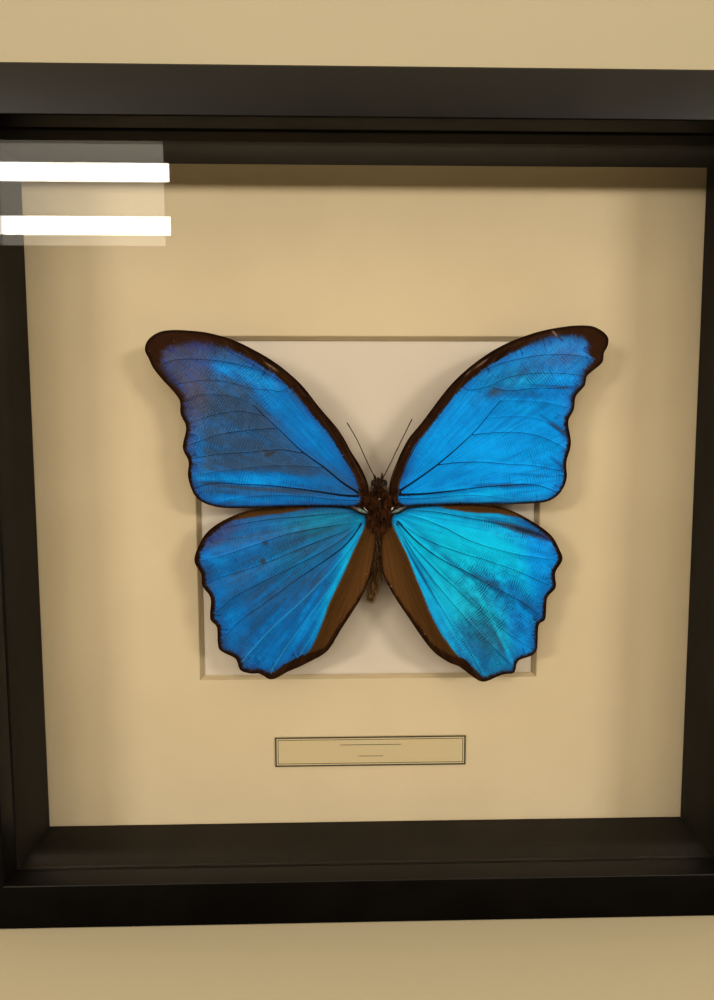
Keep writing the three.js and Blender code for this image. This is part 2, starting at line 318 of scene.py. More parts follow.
def foamBoard():
    f = Finish("foamBoard")
    cell = f.cells(1.6)
    colour = f.blend(cell.step(0.1, 0.6), (0.74, 0.71, 0.64), (0.82, 0.8, 0.74))
    return f.surface(Base_Color=colour, Roughness=0.93, Normal=f.bump(cell, 0.1, 0.6))


def hardboard():
    f = Finish("hardboard")
    spot = f.place()
    fibre = f.noise(f.place((0.9, 0.9, 2.2)), 1.0, 6.0, 0.75, 0.4)
    cloud = f.noise(spot, 0.03, 3.0)
    fleck = f.noise(spot, 1.4, 3.0, 0.7).step(0.62, 0.7)
    colour = f.layered(f.blend(cloud.step(0.3, 0.7), (0.2, 0.107, 0.052), (0.26, 0.148, 0.075)), [
        (fibre.step(0.3, 0.7) * 0.6, (0.15, 0.076, 0.036)),
        (fleck * 0.5, (0.33, 0.2, 0.11)),
    ])
    return f.surface(Base_Color=colour, Roughness=0.62 + 0.25 * fibre, Normal=f.bump(fibre, 0.12, 0.7))


def zincSteel():
    f = Finish("zincSteel")
    tone = f.add("ShaderNodeSeparateColor", {}, {"Color": f.cells(0.8, "Color")})
    brush = f.noise(f.place((0.4, 6.0, 6.0)), 1.0, 3.0)
    stain = f.noise(f.place(), 0.25, 4.0, 0.65)
    colour = f.blend(tone, (0.5, 0.51, 0.5), (0.62, 0.63, 0.62))
    colour = f.blend(stain.step(0.58, 0.75) * 0.5, colour, (0.3, 0.27, 0.22))
    rough = 0.24 + 0.18 * brush + 0.2 * stain.step(0.55, 0.75)
    return f.surface(Base_Color=colour, Metallic=1.0, Roughness=rough, Normal=f.bump(brush, 0.02, 0.4))


def steelPin():  # dark, with a painted highlight: a pale spot on the middle of its head
    f = Finish("steelPin")
    low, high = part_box("mounting_pin")
    spot = f.place()
    worn = f.noise(spot, 2.0, 3.0)
    x, _, z = f.split(spot)
    across = x - (low[0] + high[0]) / 2 / mm
    upward = z - (low[2] + high[2]) / 2 / mm
    fromAxis = (across * across + upward * upward) ** 0.5
    colour = f.blend(worn.step(0.4, 0.7), (0.06, 0.045, 0.03), (0.1, 0.08, 0.055))
    # painted highlight: a pale spot round the head's axis
    colour = f.blend(fromAxis.lower(0.12, 0.34), colour, (0.38, 0.33, 0.26))
    return f.surface(Base_Color=colour, Metallic=0.4, Roughness=0.3 + 0.15 * worn)


finishes = {
    "pin": steelPin(),
    "foil": blackFoil(), "lining": darkLining(), "glass": clearGlass(), "mount": mountPaper(),
    "core": bevelCore(), "card": paleCard(), "foam": foamBoard(), "hardboard": hardboard(),
    "steel": zincSteel(),
}


# meshes

def prismFaces(count):  # two ends and the sides between them
    faces = [tuple(range(count)), tuple(range(2 * count - 1, count - 1, -1))]
    return faces + [(i, (i + 1) % count, (i + 1) % count + count, i + count) for i in range(count)]


def tubeFaces(rings, sides, closed=False):  # between rings of points, and from the last to the first
    faces = []
    for i in range(rings if closed else rings - 1):
        after = (i + 1) % rings * sides
        for j in range(sides):
            k = (j + 1) % sides
            faces.append((i * sides + j, i * sides + k, after + k, after + j))
    return faces


def makeObject(name, vertices, faces, materials, smooth=None, faceMaterials=None):
    mesh = bpy.data.meshes.new(name)
    mesh.from_pydata([tuple(v) for v in vertices], [], [tuple(f) for f in faces])
    piece = bpy.data.objects.new(name, mesh)
    bpy.context.scene.collection.objects.link(piece)
    for material in materials:
        mesh.materials.append(material)
    if faceMaterials is not None:
        mesh.polygons.foreach_set("material_index", np.asarray(faceMaterials, np.int32))
    outwards(mesh)
    if smooth:
        mesh.shade_smooth()
        mesh.set_sharp_from_angle(angle=math.radians(smooth))
    return piece


def outwards(mesh):
    work = bmesh.new()
    work.from_mesh(mesh)
    bmesh.ops.remove_doubles(work, verts=work.verts, dist=1e-7)
    bmesh.ops.recalc_face_normals(work, faces=work.faces)
    work.to_mesh(mesh)
    work.free()


def settle(piece, replaced):  # it rides on the frame's one body, in place of its CAD piece
    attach(piece, "root")
    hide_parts(replaced)


def coat(node, material):  # a CAD piece keeps its shape and gets its finish
    nodes[node].data.materials.clear()
    nodes[node].data.materials.append(material)


# rails and linings: one profile each, mitred at both ends

railSettings = {
    "face": 13.8,  # mm, as all sizes here
    "wall": 6.5,
    "lip": 8.3,
    "outerRound": 0.8,
    "innerRound": 0.4,
    "backRound": 0.5,
    "mitreGap": 0.04,
    "arcSteps": 5,
    "sharpAngle": 35,  # degrees
}

liningSettings = {"inner": 13.8, "outer": 6.8, "front": 10.9, "back": 35.4, "round": 0.35}

turns = {"bottom": 0, "left": 90, "top": 180, "right": -90}


def arc(centre, radius, start, end, steps):
    angles = [math.radians(start + (end - start) * i / steps) for i in range(steps + 1)]
    return [(centre[0] + radius * math.cos(a), centre[1] + radius * math.sin(a)) for a in angles]


def railProfile(s):  # (inwards from the outer side, depth)
    outer, inner, back, steps = s["outerRound"], s["innerRound"], s["backRound"], s["arcSteps"]
    depth = frameDepth / mm
    points = arc((outer, outer), outer, 180, 270, steps)
    points += arc((s["face"] - inner, inner), inner, 270, 360, steps)
    points += arc((s["face"] - inner, s["lip"] - inner), inner, 0, 90, steps)
    points += [(s["wall"], s["lip"])]
    points += arc((s["wall"] - back, depth - back), back, 0, 90, steps)
    points += arc((back, depth - back), back, 90, 180, steps)
    return points


def liningProfile(s):
    r, steps = s["round"], railSettings["arcSteps"]
    points = [(s["outer"], s["front"])]
    points += arc((s["inner"] - r, s["front"] + r), r, 270, 360, steps)
    points += arc((s["inner"] - r, s["back"] - r), r, 0, 90, steps)
    return points + [(s["outer"], s["back"])]


def mitredBar(name, profile, turn, gap, material):
    half = frameSide / 2
    spin = Matrix.Translation((0, 0, middleZ)) @ Matrix.Rotation(math.radians(turn), 4, "Y")
    vertices = []
    for end in (-1, 1):
        for inset, depth in profile:
            x = end * (half - (inset + gap) * mm)
            vertices.append(spin @ Vector((x, frontY + depth * mm, inset * mm - half)))
    sharp = railSettings["sharpAngle"]
    return makeObject(name, vertices, prismFaces(len(profile)), [material], smooth=sharp)


bars = (
    ("rail", railProfile(railSettings), finishes["foil"], "rail_black"),
    ("lining", liningProfile(liningSettings), finishes["lining"], "lining_dark"),
)
for side, turn in turns.items():
    for kind, profile, finish, slot in bars:
        bar = mitredBar(f"{kind}-{side}", profile, turn, railSettings["mitreGap"], finish)
        settle(bar, f"{kind}_{side}")
print("rails and linings made")

coat("glass_pane", finishes["glass"])
coat("window_card", finishes["card"])
coat("pinning_board", finishes["foam"])
coat("back_board", finishes["hardboard"])
coat("mounting_pin", finishes["pin"])
tabs = [f"retaining_tab_{i}" for i in range(1, 9)]
for name in (*tabs, "hanging_plate", "hanging_rivet_left", "hanging_rivet_right"):
    coat(name, finishes["steel"])


# window mount with its bevelled opening

mountSettings = {
    "windowSide": 116.8,  # mm, front edge of the bevel
    "shift": (0.3, -1.4),
    "bevelRun": 1.4,
    "edgeRound": 0.12,
}


def windowMount(s):
    low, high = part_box("mount_board")
    half = (high[0] - low[0]) / 2
    front, back = low[1], high[1]
    x, z = s["shift"][0] * mm, middleZ + s["shift"][1] * mm
    side, run, edge = s["windowSide"] / 2 * mm, s["bevelRun"] * mm, s["edgeRound"] * mm
    rings = [
        (0, middleZ, half, back), (0, middleZ, half, front),
        (x, z, side + edge, front), (x, z, side - edge, front + edge), (x, z, side - run, back),
    ]
    bevel = 3  # the ring in front of the sloping faces
    vertices = []
    for cx, cz, r, y in rings:
        vertices += [(cx - r, y, cz - r), (cx + r, y, cz - r), (cx + r, y, cz + r), (cx - r, y, cz + r)]
    faces, kinds = [], []
    for ring in range(len(rings)):
        after = (ring + 1) % len(rings)
        for i in range(4):
            j = (i + 1) % 4
            faces.append((4 * ring + i, 4 * ring + j, 4 * after + j, 4 * after + i))
            kinds.append(1 if ring == bevel else 0)
    papers = [finishes["mount"], finishes["core"]]
    return makeObject("windowMount", vertices, faces, papers, faceMaterials=kinds)


settle(windowMount(mountSettings), "mount_board")


# label: a slip of paper with a ruled double border and two plain ruled lines

labelSettings = {
    "cornerRound": 0.35,  # mm
    "cornerSteps": 4,
    "thickness": 0.22,
    "outerLine": (0.12, 0.62),  # from and to, measured in from the edge
    "innerLine": (1.05, 1.25),
    "blur": 0.05,  # of the printed lines
    "rules": [(0.0, 2.35, 10.6, 0.11), (0.0, -1.75, 4.3, 0.11)],  # x, z, half length, half width
}


def labelPaper(s, middle, half):
    f = Finish("labelPaper")
    spot = f.place()
    fibre = f.noise(spot, 2.4, 4.0, 0.7)
    x, _, z = f.split(spot)
    wobble = f.noise(spot, 0.9, 2.0).swing(0.08)
    acrossX = abs(x - middle[0] / mm)
    acrossZ = abs(z - middle[1] / mm)
    inset = (half[0] / mm - acrossX).least(half[1] / mm - acrossZ) + wobble
    ink = None
    blur = s["blur"]
    for start, end in (s["outerLine"], s["innerLine"]):
        line = inset.step(start - blur, start + blur) * inset.lower(end - blur, end + blur)
        ink = line if ink is None else ink.most(line)
    for rx, rz, length, width in s["rules"]:
        run = abs(x - (middle[0] / mm + rx)).lower(length - 2 * blur, length + 2 * blur)
        line = abs(z - (middle[1] / mm + rz) + wobble * 0.5).lower(width - 0.04, width + 0.06)
        ink = ink.most(run * line * 0.85)
    worn = f.noise(spot, 3.5, 3.0, 0.7).step(0.25, 0.5)
    paper = f.blend(fibre.step(0.3, 0.75) * 0.3, (0.44, 0.363, 0.243), (0.37, 0.3, 0.195))
    colour = f.blend(ink * (0.8 + 0.2 * worn), paper, (0.05, 0.042, 0.034))
    return f.surface(
        Base_Color=colour, Roughness=0.78, Normal=f.bump(fibre, 0.03, 0.4), Specular_IOR_Level=0.3,
    )


def makeLabel(s):
    low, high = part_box("label")
    half = ((high[0] - low[0]) / 2, (high[2] - low[2]) / 2)
    middle = ((low[0] + high[0]) / 2, (low[2] + high[2]) / 2)
    r = s["cornerRound"] * mm
    outline = []
    for sx, sz, start in ((1, -1, -90), (1, 1, 0), (-1, 1, 90), (-1, -1, 180)):
        centre = (middle[0] + sx * (half[0] - r), middle[1] + sz * (half[1] - r))
        outline += arc(centre, r, start, start + 90, s["cornerSteps"])
    back = high[1]
    front = back - s["thickness"] * mm
    vertices = [(x, y, z) for y in (front, back) for x, z in outline]
    return makeObject("labelSlip", vertices, prismFaces(len(outline)), [labelPaper(s, middle, half)])


settle(makeLabel(labelSettings), "label")
print("mount and label made")


# wings: each is a membrane over its veins, inside the outline of its CAD plate.
# Places are offsets in mm from the middle of the thorax, outwards and upwards.

wingSettings = {
    "spacing": 0.5,  # mm between membrane points
    "edgeSpacing": 0.4,
    "veinSpacing": 0.42,
    "thickness": 0.1,
    "veinWidth": (0.26, 0.12),  # at the root and at the margin
    "veinHeight": 0.09,
    "lineWidth": (0.62, 0.13),  # of the dark line over each vein
    "lineReach": 55,  # from the middle, where the lines are as thin as they get
    "lineStart": 7.5,
    "boldLine": 1.5,  # times the usual width, as the next two
    "hindBold": 0.7,
    "faintLine": 0.35,
    "hindLine": (8, 22, 0.08, 0.8),  # where lines begin, how far they grow, least and most
    "fold": 0.13,  # how far the membrane bends beside each vein
    "foldReach": 1.3,
    "pleat": 0.22,  # heights of slow waves: along the rays, over the wing, along its margin
    "sway": 0.35,
    "curl": 0.22,
    "curlReach": 1.2,
    "waveReach": 60,  # from the middle, where the waves are full
    "rootWave": 0.8,  # how ragged the dark root is
    "seeds": {"root": 31, "pleat": 11, "sway": 5, "curl": 23},
    "fringe": 0.05,
    "jitter": 0.25,  # spacings
    "inset": {"vein": 0.3, "foot": 0.2, "membrane": 0.25},  # least distance of points from the margin
    "apart": {"vein": 0.16, "foot": 0.13, "membrane": 0.3},  # and from the points made before
    "veinBreak": 2.5,  # spacings, past which two points of a vein aren't joined
    "brownSpacing": 1.0,
    "far": 9.0,  # beyond the reach of every line
    "sharpAngle": 60,  # degrees
}

pinLow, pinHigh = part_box("mounting_pin")
pinAbove = 3  # mm, from the thorax's middle up to the pin
wingMiddle = ((pinLow[0] + pinHigh[0]) / 2, (pinLow[2] + pinHigh[2]) / 2 - pinAbove * mm)

# In each wing, how bright or dull the blue scales look is a painted sheen, given as soft patches.
wings = {
    "forewing_left": {
        "worn": [0.12, (48, 44, 15, 4.5, 15, 0.55), (58, 18, 4, 14, 0, 0.5), (48, 28, 14, 10, 0, 0.3)],
        "ripple": [0.45, (50, 36, 16, 12, 10, 0.35), (30, 31, 8, 5, 40, -0.35), (14, 14, 12, 6, 50, -0.3)],
        "bold": (4, 10),
        "faint": (5, 9, 11),
        "root": 6.6,
        # painted highlights: thin pale streaks on the ridges
        "gleam": [
            0.0, (33, 44, 2.2, 0.35, 34, 0.8), (35.5, 45.8, 2.4, 0.2, 32, 0.5),
            (21, 34.5, 9, 0.16, 53, 0.4), (32, 38.9, 1.5, 0.8, 60, 0.5), (8, 12.5, 4.5, 0.16, 62, 0.6),
            (9.4, 17.3, 6, 0.13, 62, 0.45),
        ],
        "veins": [
            [(4.5, 7.6), (8.8, 16.3), (13.4, 24.9), (18.9, 31.8), (24.3, 36.9), (31.2, 42.2), (38.8, 46.8),
             (46.5, 50.3), (54.2, 52.7), (61.8, 53.8)],
            [(6, 6.4), (9.6, 14.7), (14.6, 23.3), (20.4, 30.7), (25, 35.3), (28.4, 38.3), (34.3, 42),
             (41.2, 46.1), (48, 49.9)],
            [(28.4, 38.3), (31.2, 36.9), (34.3, 37.4), (40.5, 38), (48.2, 40), (55.9, 40.4), (64.9, 38.9)],
            [(37.3, 43.4), (45, 45.5), (54.3, 46.8), (63.5, 46.7), (69.4, 44.6)],
            [(6.1, 4.6), (11.9, 8.4), (17.4, 13), (23.6, 17.5), (28.3, 21.8), (32.1, 25.5), (36, 29.2),
             (39.2, 32.4)],
            [(39.2, 32.4), (44.4, 35), (52.2, 36.1), (58.4, 35.4), (61.7, 33.3)],
            [(36, 29.2), (43.7, 30.7), (52.3, 29.6), (60.7, 26.7)],
            [(32.1, 25.5), (40.7, 24.9), (50.9, 23.4), (60.7, 19.9)],
            [(23.6, 17.5), (31.5, 18.7), (41.6, 17.9), (51.8, 17.2), (60.2, 15.7)],
            [(17.4, 13), (26.8, 13.6), (36.2, 13.6), (45.6, 12.5), (55, 11.3), (59.7, 10.3)],
            [(6.4, 3.8), (12.8, 4.3), (23.8, 6), (34.7, 7.3), (44.1, 7.8), (52.7, 8.2), (58.4, 6.6)],
            [(6.8, 2.5), (14.3, 2.8), (23.8, 3.9), (34.8, 4.2), (45, 3.4), (52.1, 1.5)],
        ],
        "border": [
            (3.4, 3, 3.3), (8.9, 18.1, 3.1), (18.9, 32.1, 3.3), (31.2, 44.9, 3.2), (46.4, 53, 3.2),
            (56, 55.2, 3.7), (63, 55.4, 4.8), (70.8, 52.6, 7), (72, 49.5, 6), (69.6, 43.8, 2.8),
            (63.9, 36.9, 2), (61.7, 29.8, 1.5), (60, 25.4, 1.3), (59.8, 10.2, 1.1), (57, 3.4, 0.8),
            (49.7, 0.4, 0.4), (8, 0.4, 0.3),
        ],
        "sheen": [
            0.1, (22.5, 24.8, 19.5, 4.6, 46, 0.55), (34, 35.2, 4, 2.4, 30, 0.25),
            (43, 42.4, 10.5, 1.8, 17, 0.64), (44, 9.3, 15, 1.8, 1, 0.68), (24, 7.5, 12, 2.6, 5, 0.25),
            (28, 2.4, 24, 1.6, 2, 0.56), (46, 2.2, 8, 1.5, 0, 0.25), (57.5, 16, 2, 11, 0, 0.3),
            (52.6, 8.4, 4.5, 0.4, 0, -0.5), (38, 6.4, 11, 0.42, 4, -0.5), (48, 1.7, 3, 0.3, -10, -0.4),
            (48, 22, 11, 4, 5, 0.13), (9, 6, 3, 2, 30, -0.15), (14, 12, 5, 2, 40, -0.1),
            (57, 45, 6, 5, 0, 0.12),
        ],
        "teal": [
            0.15, (64, 48, 10, 7, 0, -0.85), (60, 27, 4, 20, 8, -0.6), (52, 34, 12, 5, 5, -0.3),
            (38, 21, 18, 8, 5, 0.1),
        ],
        "rub": [
            0.0, (34.6, 17.4, 1.7, 0.5, -22, 1.1), (36.3, 18.4, 1.2, 0.6, 15, 0.6),
            (33.6, 19.8, 1.2, 0.7, 10, 0.5), (39, 28.5, 2.2, 1.2, 60, 0.4), (60, 49, 5, 3, 20, 0.45),
        ],
    },
    "forewing_right": {
        "worn": [0.05, (48, 46, 14, 4, 12, 0.6), (60, 49, 8, 5, 0, 0.85), (38, 37, 8, 2, 20, 0.4)],
        "ripple": [
            0.12, (52, 42, 16, 7, 10, 0.5), (44, 8, 12, 2.4, 0, 0.4), (52, 16, 10, 4, -20, 0.3),
            (12, 14, 8, 3, 52, 0.3),
        ],
        "bold": (3, 9),
        "faint": (5, 6, 10),
        "root": 6.9,
        "gleam": [
            0.0, (32.3, 45.6, 2.6, 0.4, 38, 0.8), (28, 42.6, 1.2, 0.25, 45, 0.6),
            (18, 33.8, 9, 0.16, 52, 0.4), (55.6, 54.9, 1.3, 0.3, -45, 1.1), (8.2, 14, 5, 0.15, 62, 0.5),
        ],
        "veins": [
            [(3.8, 8.4), (6.9, 17), (10.8, 24.8), (16.3, 31.8), (22.1, 37.2), (27.6, 42.3), (34.6, 47.3),
             (42.4, 51.2), (50.2, 53.9), (58.9, 55.6)],
            [(5.8, 6.4), (9.3, 15.4), (14, 23.3), (19, 29.5), (23.3, 34.9), (26.4, 38.9), (31.5, 42.5),
             (37.7, 45.4), (45.6, 47.3), (53.5, 48.3), (62.2, 48.2), (68.6, 46.7)],
            [(26.4, 38.9), (28.8, 37.4), (34.7, 38.6), (41, 41.3), (48, 42.5), (56.8, 42.6), (66.3, 41.8)],
            [(6.4, 5.4), (12.1, 9.1), (18.4, 13.7), (23.9, 18.3), (29.3, 23.2), (34, 28.5), (38.4, 34)],
            [(34.7, 38.6), (41, 37.1), (48.9, 37.9), (56.9, 37.9), (63.4, 38.9)],
            [(38.4, 34), (44.2, 34), (52.2, 33.5), (61.1, 31.5)],
            [(34, 28.5), (42.7, 29.1), (50.7, 28.3), (56.3, 25.6), (60.2, 22)],
            [(29.3, 23.2), (36.5, 23.9), (44.4, 24), (52.4, 22.4), (60.3, 18.5)],
            [(18.4, 13.7), (25.5, 14.5), (33.4, 14.6), (41.4, 13.9), (49.4, 13.4), (59.9, 11.4)],
            [(6.2, 4.3), (14.5, 4.5), (24, 5.5), (31.9, 6.5), (39.9, 7.1), (47.9, 7.4), (53.1, 6.5),
             (58, 4.4)],
            [(6.6, 3), (14.5, 3), (24, 3.8), (33.6, 3.8), (44.8, 2.2)],
        ],
        "border": [
            (3.4, 3, 3.1), (9.6, 22.4, 2.9), (21.8, 38, 3.1), (37.6, 50.5, 3.5), (47.1, 54.4, 3.4),
            (56.5, 56.6, 2.9), (64.5, 57.1, 4.2), (71.3, 53.6, 7.6), (71.5, 50.9, 7.2), (69.9, 45.8, 3.2),
            (65.2, 41.4, 1.8), (61.8, 35.3, 1.4), (59.4, 27.1, 1.3), (59.7, 9.8, 1), (56.1, 3.2, 0.7),
            (41.6, 1.1, 0.3), (8.4, 0.5, 0.3),
        ],
        "sheen": [
            0.8, (21, 30, 14, 4.4, 51, 0.1), (8.4, 12, 4, 1.8, 55, -0.35), (40, 17, 16, 6, 4, 0.2),
            (36.8, 36.6, 2.4, 1.4, 38, -0.5), (46.6, 43.5, 11, 1.4, 14, -0.3),
            (47.5, 36.4, 9.5, 1.2, -2, -0.36), (44, 46, 12, 1.6, 10, -0.12), (61, 49.5, 8, 4.5, -10, -0.1),
            (51, 8, 6, 2.5, 0, 0.22), (33, 5.5, 7, 1.8, 0, 0.2), (57.2, 25.2, 4.2, 0.45, -36, -0.9),
            (56.5, 38.3, 7.2, 0.4, -4, -0.6), (57.7, 14, 2.8, 0.4, -38, -0.6),
            (39.6, 7.2, 7.5, 0.5, 0, -0.8), (48.5, 10.4, 6.5, 0.3, -4, -0.35), (30, 5.5, 16, 0.4, 3, -0.2),
        ],
        "teal": [
            0.25, (64, 50, 8, 5, 0, -0.45), (60, 24, 3, 20, 4, -0.45), (9, 9, 8, 3, 50, -0.4),
            (44, 41, 10, 3.5, 8, 0.3), (30, 3, 18, 3, 3, 0.25),
        ],
        "rub": [0.0, (36, 36.6, 3.2, 0.8, 35, 0.5), (57, 53.6, 1.6, 0.35, -40, 0.9)],
    },
    "hindwing_left": {
        "worn": [0.12, (36, -5, 18, 5, -8, 0.5), (44, -14, 10, 8, -20, 0.3)],
        "ripple": [0.3, (30, -14, 14, 7, -30, 0.15), (38, -38, 14, 8, -45, 0.2), (9, -12, 6, 6, 0, -0.25)],
        "bold": (4,),
        "pale": (5, 6, 7),
        "root": 5.2,
        "veins": [
            [(8, -1.3), (16, -1.9), (25.5, -2.8), (35, -3.6), (44.5, -5.1), (52.5, -7.3), (56.9, -11.7)],
            [(5.6, -4.4), (12, -5.3), (20.8, -6.7), (30.3, -8.6), (39.9, -11.8), (49.4, -15),
             (58.2, -17.2)],
            [(5.6, -4.5), (12, -7.9), (22.4, -11.9), (32, -15.9), (42.4, -19.8), (52, -22.6), (56.4, -25)],
            [(5.6, -4.8), (11.2, -9.5), (18.4, -14.3), (28.8, -19.5), (38.5, -24.3), (47.3, -29.1),
             (54, -35.2)],
            [(5.5, -5), (10.4, -11.6), (17.7, -17.2), (27.3, -23.6), (37, -30.8), (45.9, -37.3),
             (51.9, -44.7)],
            [(5.3, -5.2), (9.7, -13.2), (16.1, -21.2), (25.8, -30.9), (35.5, -39.9), (42.9, -48.1),
             (45.6, -51.6)],
            [(5, -5.6), (8.9, -15.6), (14.5, -24.5), (21.8, -34.2), (29.1, -44), (34.5, -52.3),
             (35.3, -55.2)],
            [(4.9, -6), (7.7, -15.2), (12.1, -24.5), (17, -34.2), (22.7, -43.3), (28, -51.4)],
            [(3.7, -7.2), (6.1, -20.5), (9.7, -32.7), (15.4, -43.4)],
        ],
        "border": [
            (3.4, -0.6, 0.2), (41.2, -0.8, 0.5), (53, -6.2, 1.6), (58.6, -16.4, 1.5), (56.3, -24.8, 1.3),
            (54, -35.4, 1.4), (51.7, -44.4, 1.3), (44.8, -52.2, 1.5), (34.8, -55.5, 1.9), (29.4, -53, 3),
            (24.3, -50.8, 3.2), (17, -46.4, 1.5), (1.2, -12, 0.3), (3.6, -5.6, 0.3),
        ],
        "brown": [
            [(4.5, -5.8), (8.1, -13.6), (12.1, -22.5), (16.1, -31), (19.8, -40.8), (22.7, -46.6),
             (25.2, -49), (29.2, -51.1), (32.5, -52.9)],
            [(60, -13.5), (55.7, -8.6), (49.3, -4.6), (42.1, -3), (35, -2), (28.6, -1.2), (18.3, 0.9)],
        ],
        "sheen": [
            0.3, (13.6, -24.5, 20, 1.7, -67.6, 0.62), (54, -16, 3.6, 1.2, 18, 0.5),
            (36, -45, 10, 5, -45, 0.25), (52, -27, 2, 8, 15, 0.25), (25, -40, 8, 1.2, -60, 0.35),
            (17, -3, 10, 2, -5, 0.22), (48, -37, 3, 5, 25, 0.35), (30, -51, 6, 2, 0, 0.3),
            (21, -29, 12, 0.6, -57, 0.35), (33, -34, 9, 0.7, -52, 0.25), (30, -22, 18, 0.5, -40, 0.15),
            (43, -15, 8, 4, -20, 0.2), (35, -20, 6, 4, -30, 0.08), (40, -6, 10, 2, -8, 0.12),
        ],
        "teal": [
            0.25, (12, -22, 20, 3, -66, 0.35), (17, -3.5, 11, 3.5, -6, 0.6), (24, -14, 14, 7, -35, 0.3),
            (38, -44, 14, 8, -45, -0.3), (51, -8, 8, 2.2, -25, -0.9), (55, -28, 3, 20, 12, -0.3),
        ],
        "rub": [
            0.0, (36.5, -11.2, 1, 0.7, 0, 0.8), (37.4, -17.1, 1, 0.9, 0, 0.9), (45, -8.5, 9, 1.3, -20, 0.3),
        ],
    },
    "hindwing_right": {
        "worn": [0.05, (33, -40, 14, 9, -58, 0.6), (42, -6, 12, 3, -17, 0.3)],
        "ripple": [
            0.1, (40, -30, 16, 6, -40, 0.85), (33, -44, 9, 7, -60, 0.8), (46, -8, 12, 2.5, -16, 0.6),
            (48, -22, 10, 7, -20, 0.3),
        ],
        "bold": (3,),
        "pale": (7,),
        "root": 5.2,
        "veins": [
            [(7.1, -0.8), (17.8, -1.4), (28.3, -3.3), (38.7, -5.2), (49.3, -7.7), (57.3, -11.6)],
            [(6.7, -1.6), (13.8, -3.5), (21.9, -6.9), (30, -11), (42.1, -14.7), (53.6, -16.8), (59, -17.6)],
            [(5.9, -4), (14.7, -10.1), (26, -14.6), (35.7, -17.5), (47.2, -21.7), (57, -26.4)],
            [(5.9, -4.3), (13.1, -11.7), (21.2, -17.4), (29.3, -21.5), (39.1, -26.9), (47.4, -31.5),
             (54.4, -36.8)],
            [(5.5, -4.4), (11.1, -12.5), (18.8, -20.6), (27.8, -28.9), (37.7, -38), (46, -44),
             (51.7, -47.8)],
            [(5.5, -4.7), (10.3, -13.3), (17.2, -23.1), (26.2, -33.8), (36.2, -44.7), (45, -53.4)],
            [(5.3, -4.9), (9.7, -14.5), (16, -25.5), (23, -37.1), (29.6, -47.1), (34.6, -56.6)],
            [(5.1, -5.2), (9.1, -15.7), (14, -27.1), (19.8, -38.7), (25.6, -48.7), (29.4, -53.4)],
            [(4.1, -6.8), (6.7, -18.9), (12.4, -33.7), (17.6, -44.6)],
        ],
        "border": [
            (3.4, -0.6, 0.2), (41.6, -0.8, 0.5), (55.6, -9.3, 1.2), (59.2, -17.1, 1.4), (57.2, -26.2, 1.2),
            (54.1, -36.3, 1.2), (51.7, -45.8, 1.1), (44.2, -54, 1.2), (34.5, -57, 1.7), (30.5, -55.2, 2.6),
            (26.3, -51.8, 3), (16.5, -45.4, 1.5), (0.6, -12, 0.3), (3.6, -5.6, 0.3),
        ],
        "brown": [
            [(4.4, -5.6), (9.1, -15.3), (13.2, -25.5), (17.3, -35.4), (21.4, -42.8), (25.6, -48.3),
             (30.6, -53.6)],
            [(60, -13.5), (57.5, -10.6), (53.3, -6.8), (46.8, -3.7), (38.7, -2.1), (29.8, -1.6),
             (22.6, -0.4), (17.8, 0.9)],
        ],
        "sheen": [
            0.85, (32.4, -42.5, 8, 4, -58, -0.5), (48.6, -8.1, 8.2, 0.75, -17, -1.8),
            (47.5, -4.9, 8, 0.5, -22, -0.4), (46, -30.7, 9, 2.2, -36, -0.4), (34, -23.6, 5, 0.8, -24, -0.4),
            (39.2, -43.2, 7, 0.6, -66, -0.6), (38, -39.7, 12, 0.6, -63, 0.5),
            (46.5, -33.3, 8, 0.7, -50, 0.35), (23, -17, 12, 0.7, -42, -0.25), (15, -24, 14, 0.5, -64, -0.3),
            (31, -50, 2, 5, 20, 0.3), (50, -20, 5, 6, 0, 0.1), (33, -15, 12, 4, -25, 0.35),
            (26, -35, 7, 4, -58, 0.25), (38, -8.5, 6, 1.5, -10, 0.25),
        ],
        "teal": [
            0.5, (10, -9, 8, 7, -20, 0.1), (24, -24, 14, 7, -58, 0.35), (56, -20, 5, 16, 12, -0.6),
            (49, -44, 4, 9, 20, -0.45), (36, -14, 14, 6, -25, 0.3), (36, -40, 10, 5, -58, 0.3),
        ],
        "rub": [0.0, (29, -46, 4, 2.5, -60, 0.3), (20, -24, 2, 1, -40, 0.25)],
    },
}


def catmull(a, b, c, d, t):  # a smooth curve from b to c, between a and d
    first = 2 * b + (c - a) * t + (2 * a - 5 * b + 4 * c - d) * t * t
    return 0.5 * (first + (3 * b - 3 * c + d - a) * t ** 3)


def smoothLine(points, spacing, closed=False):  # a smooth curve through the points, evenly spaced
    stepsPerSpan = 12
    p = np.asarray(points, float)
    count = len(p)
    spans = count if closed else count - 1
    dense = []
    for i in range(spans):
        near = (i + k for k in (-1, 0, 1, 2))
        knots = [p[n % count] if closed else p[min(max(n, 0), count - 1)] for n in near]
        for t in np.linspace(0, 1, stepsPerSpan, endpoint=False):
            dense.append(catmull(*knots, t))
    dense.append(p[0] if closed else p[-1])
    dense = np.array(dense)
    run = np.concatenate([[0], np.cumsum(np.linalg.norm(np.diff(dense, axis=0), axis=1))])
    steps = max(2, round(run[-1] / spacing))
    marks = np.linspace(0, run[-1], steps + 1)
    if closed:
        marks = marks[:-1]
    return np.stack([np.interp(marks, run, dense[:, k]) for k in (0, 1)], 1)


def openEdges(edges):  # those that no other edge runs back along
    ahead = {}
    for a, b in edges:
        if (b, a) in ahead:
            del ahead[b, a]
        else:
            ahead[a, b] = True
    return list(ahead)


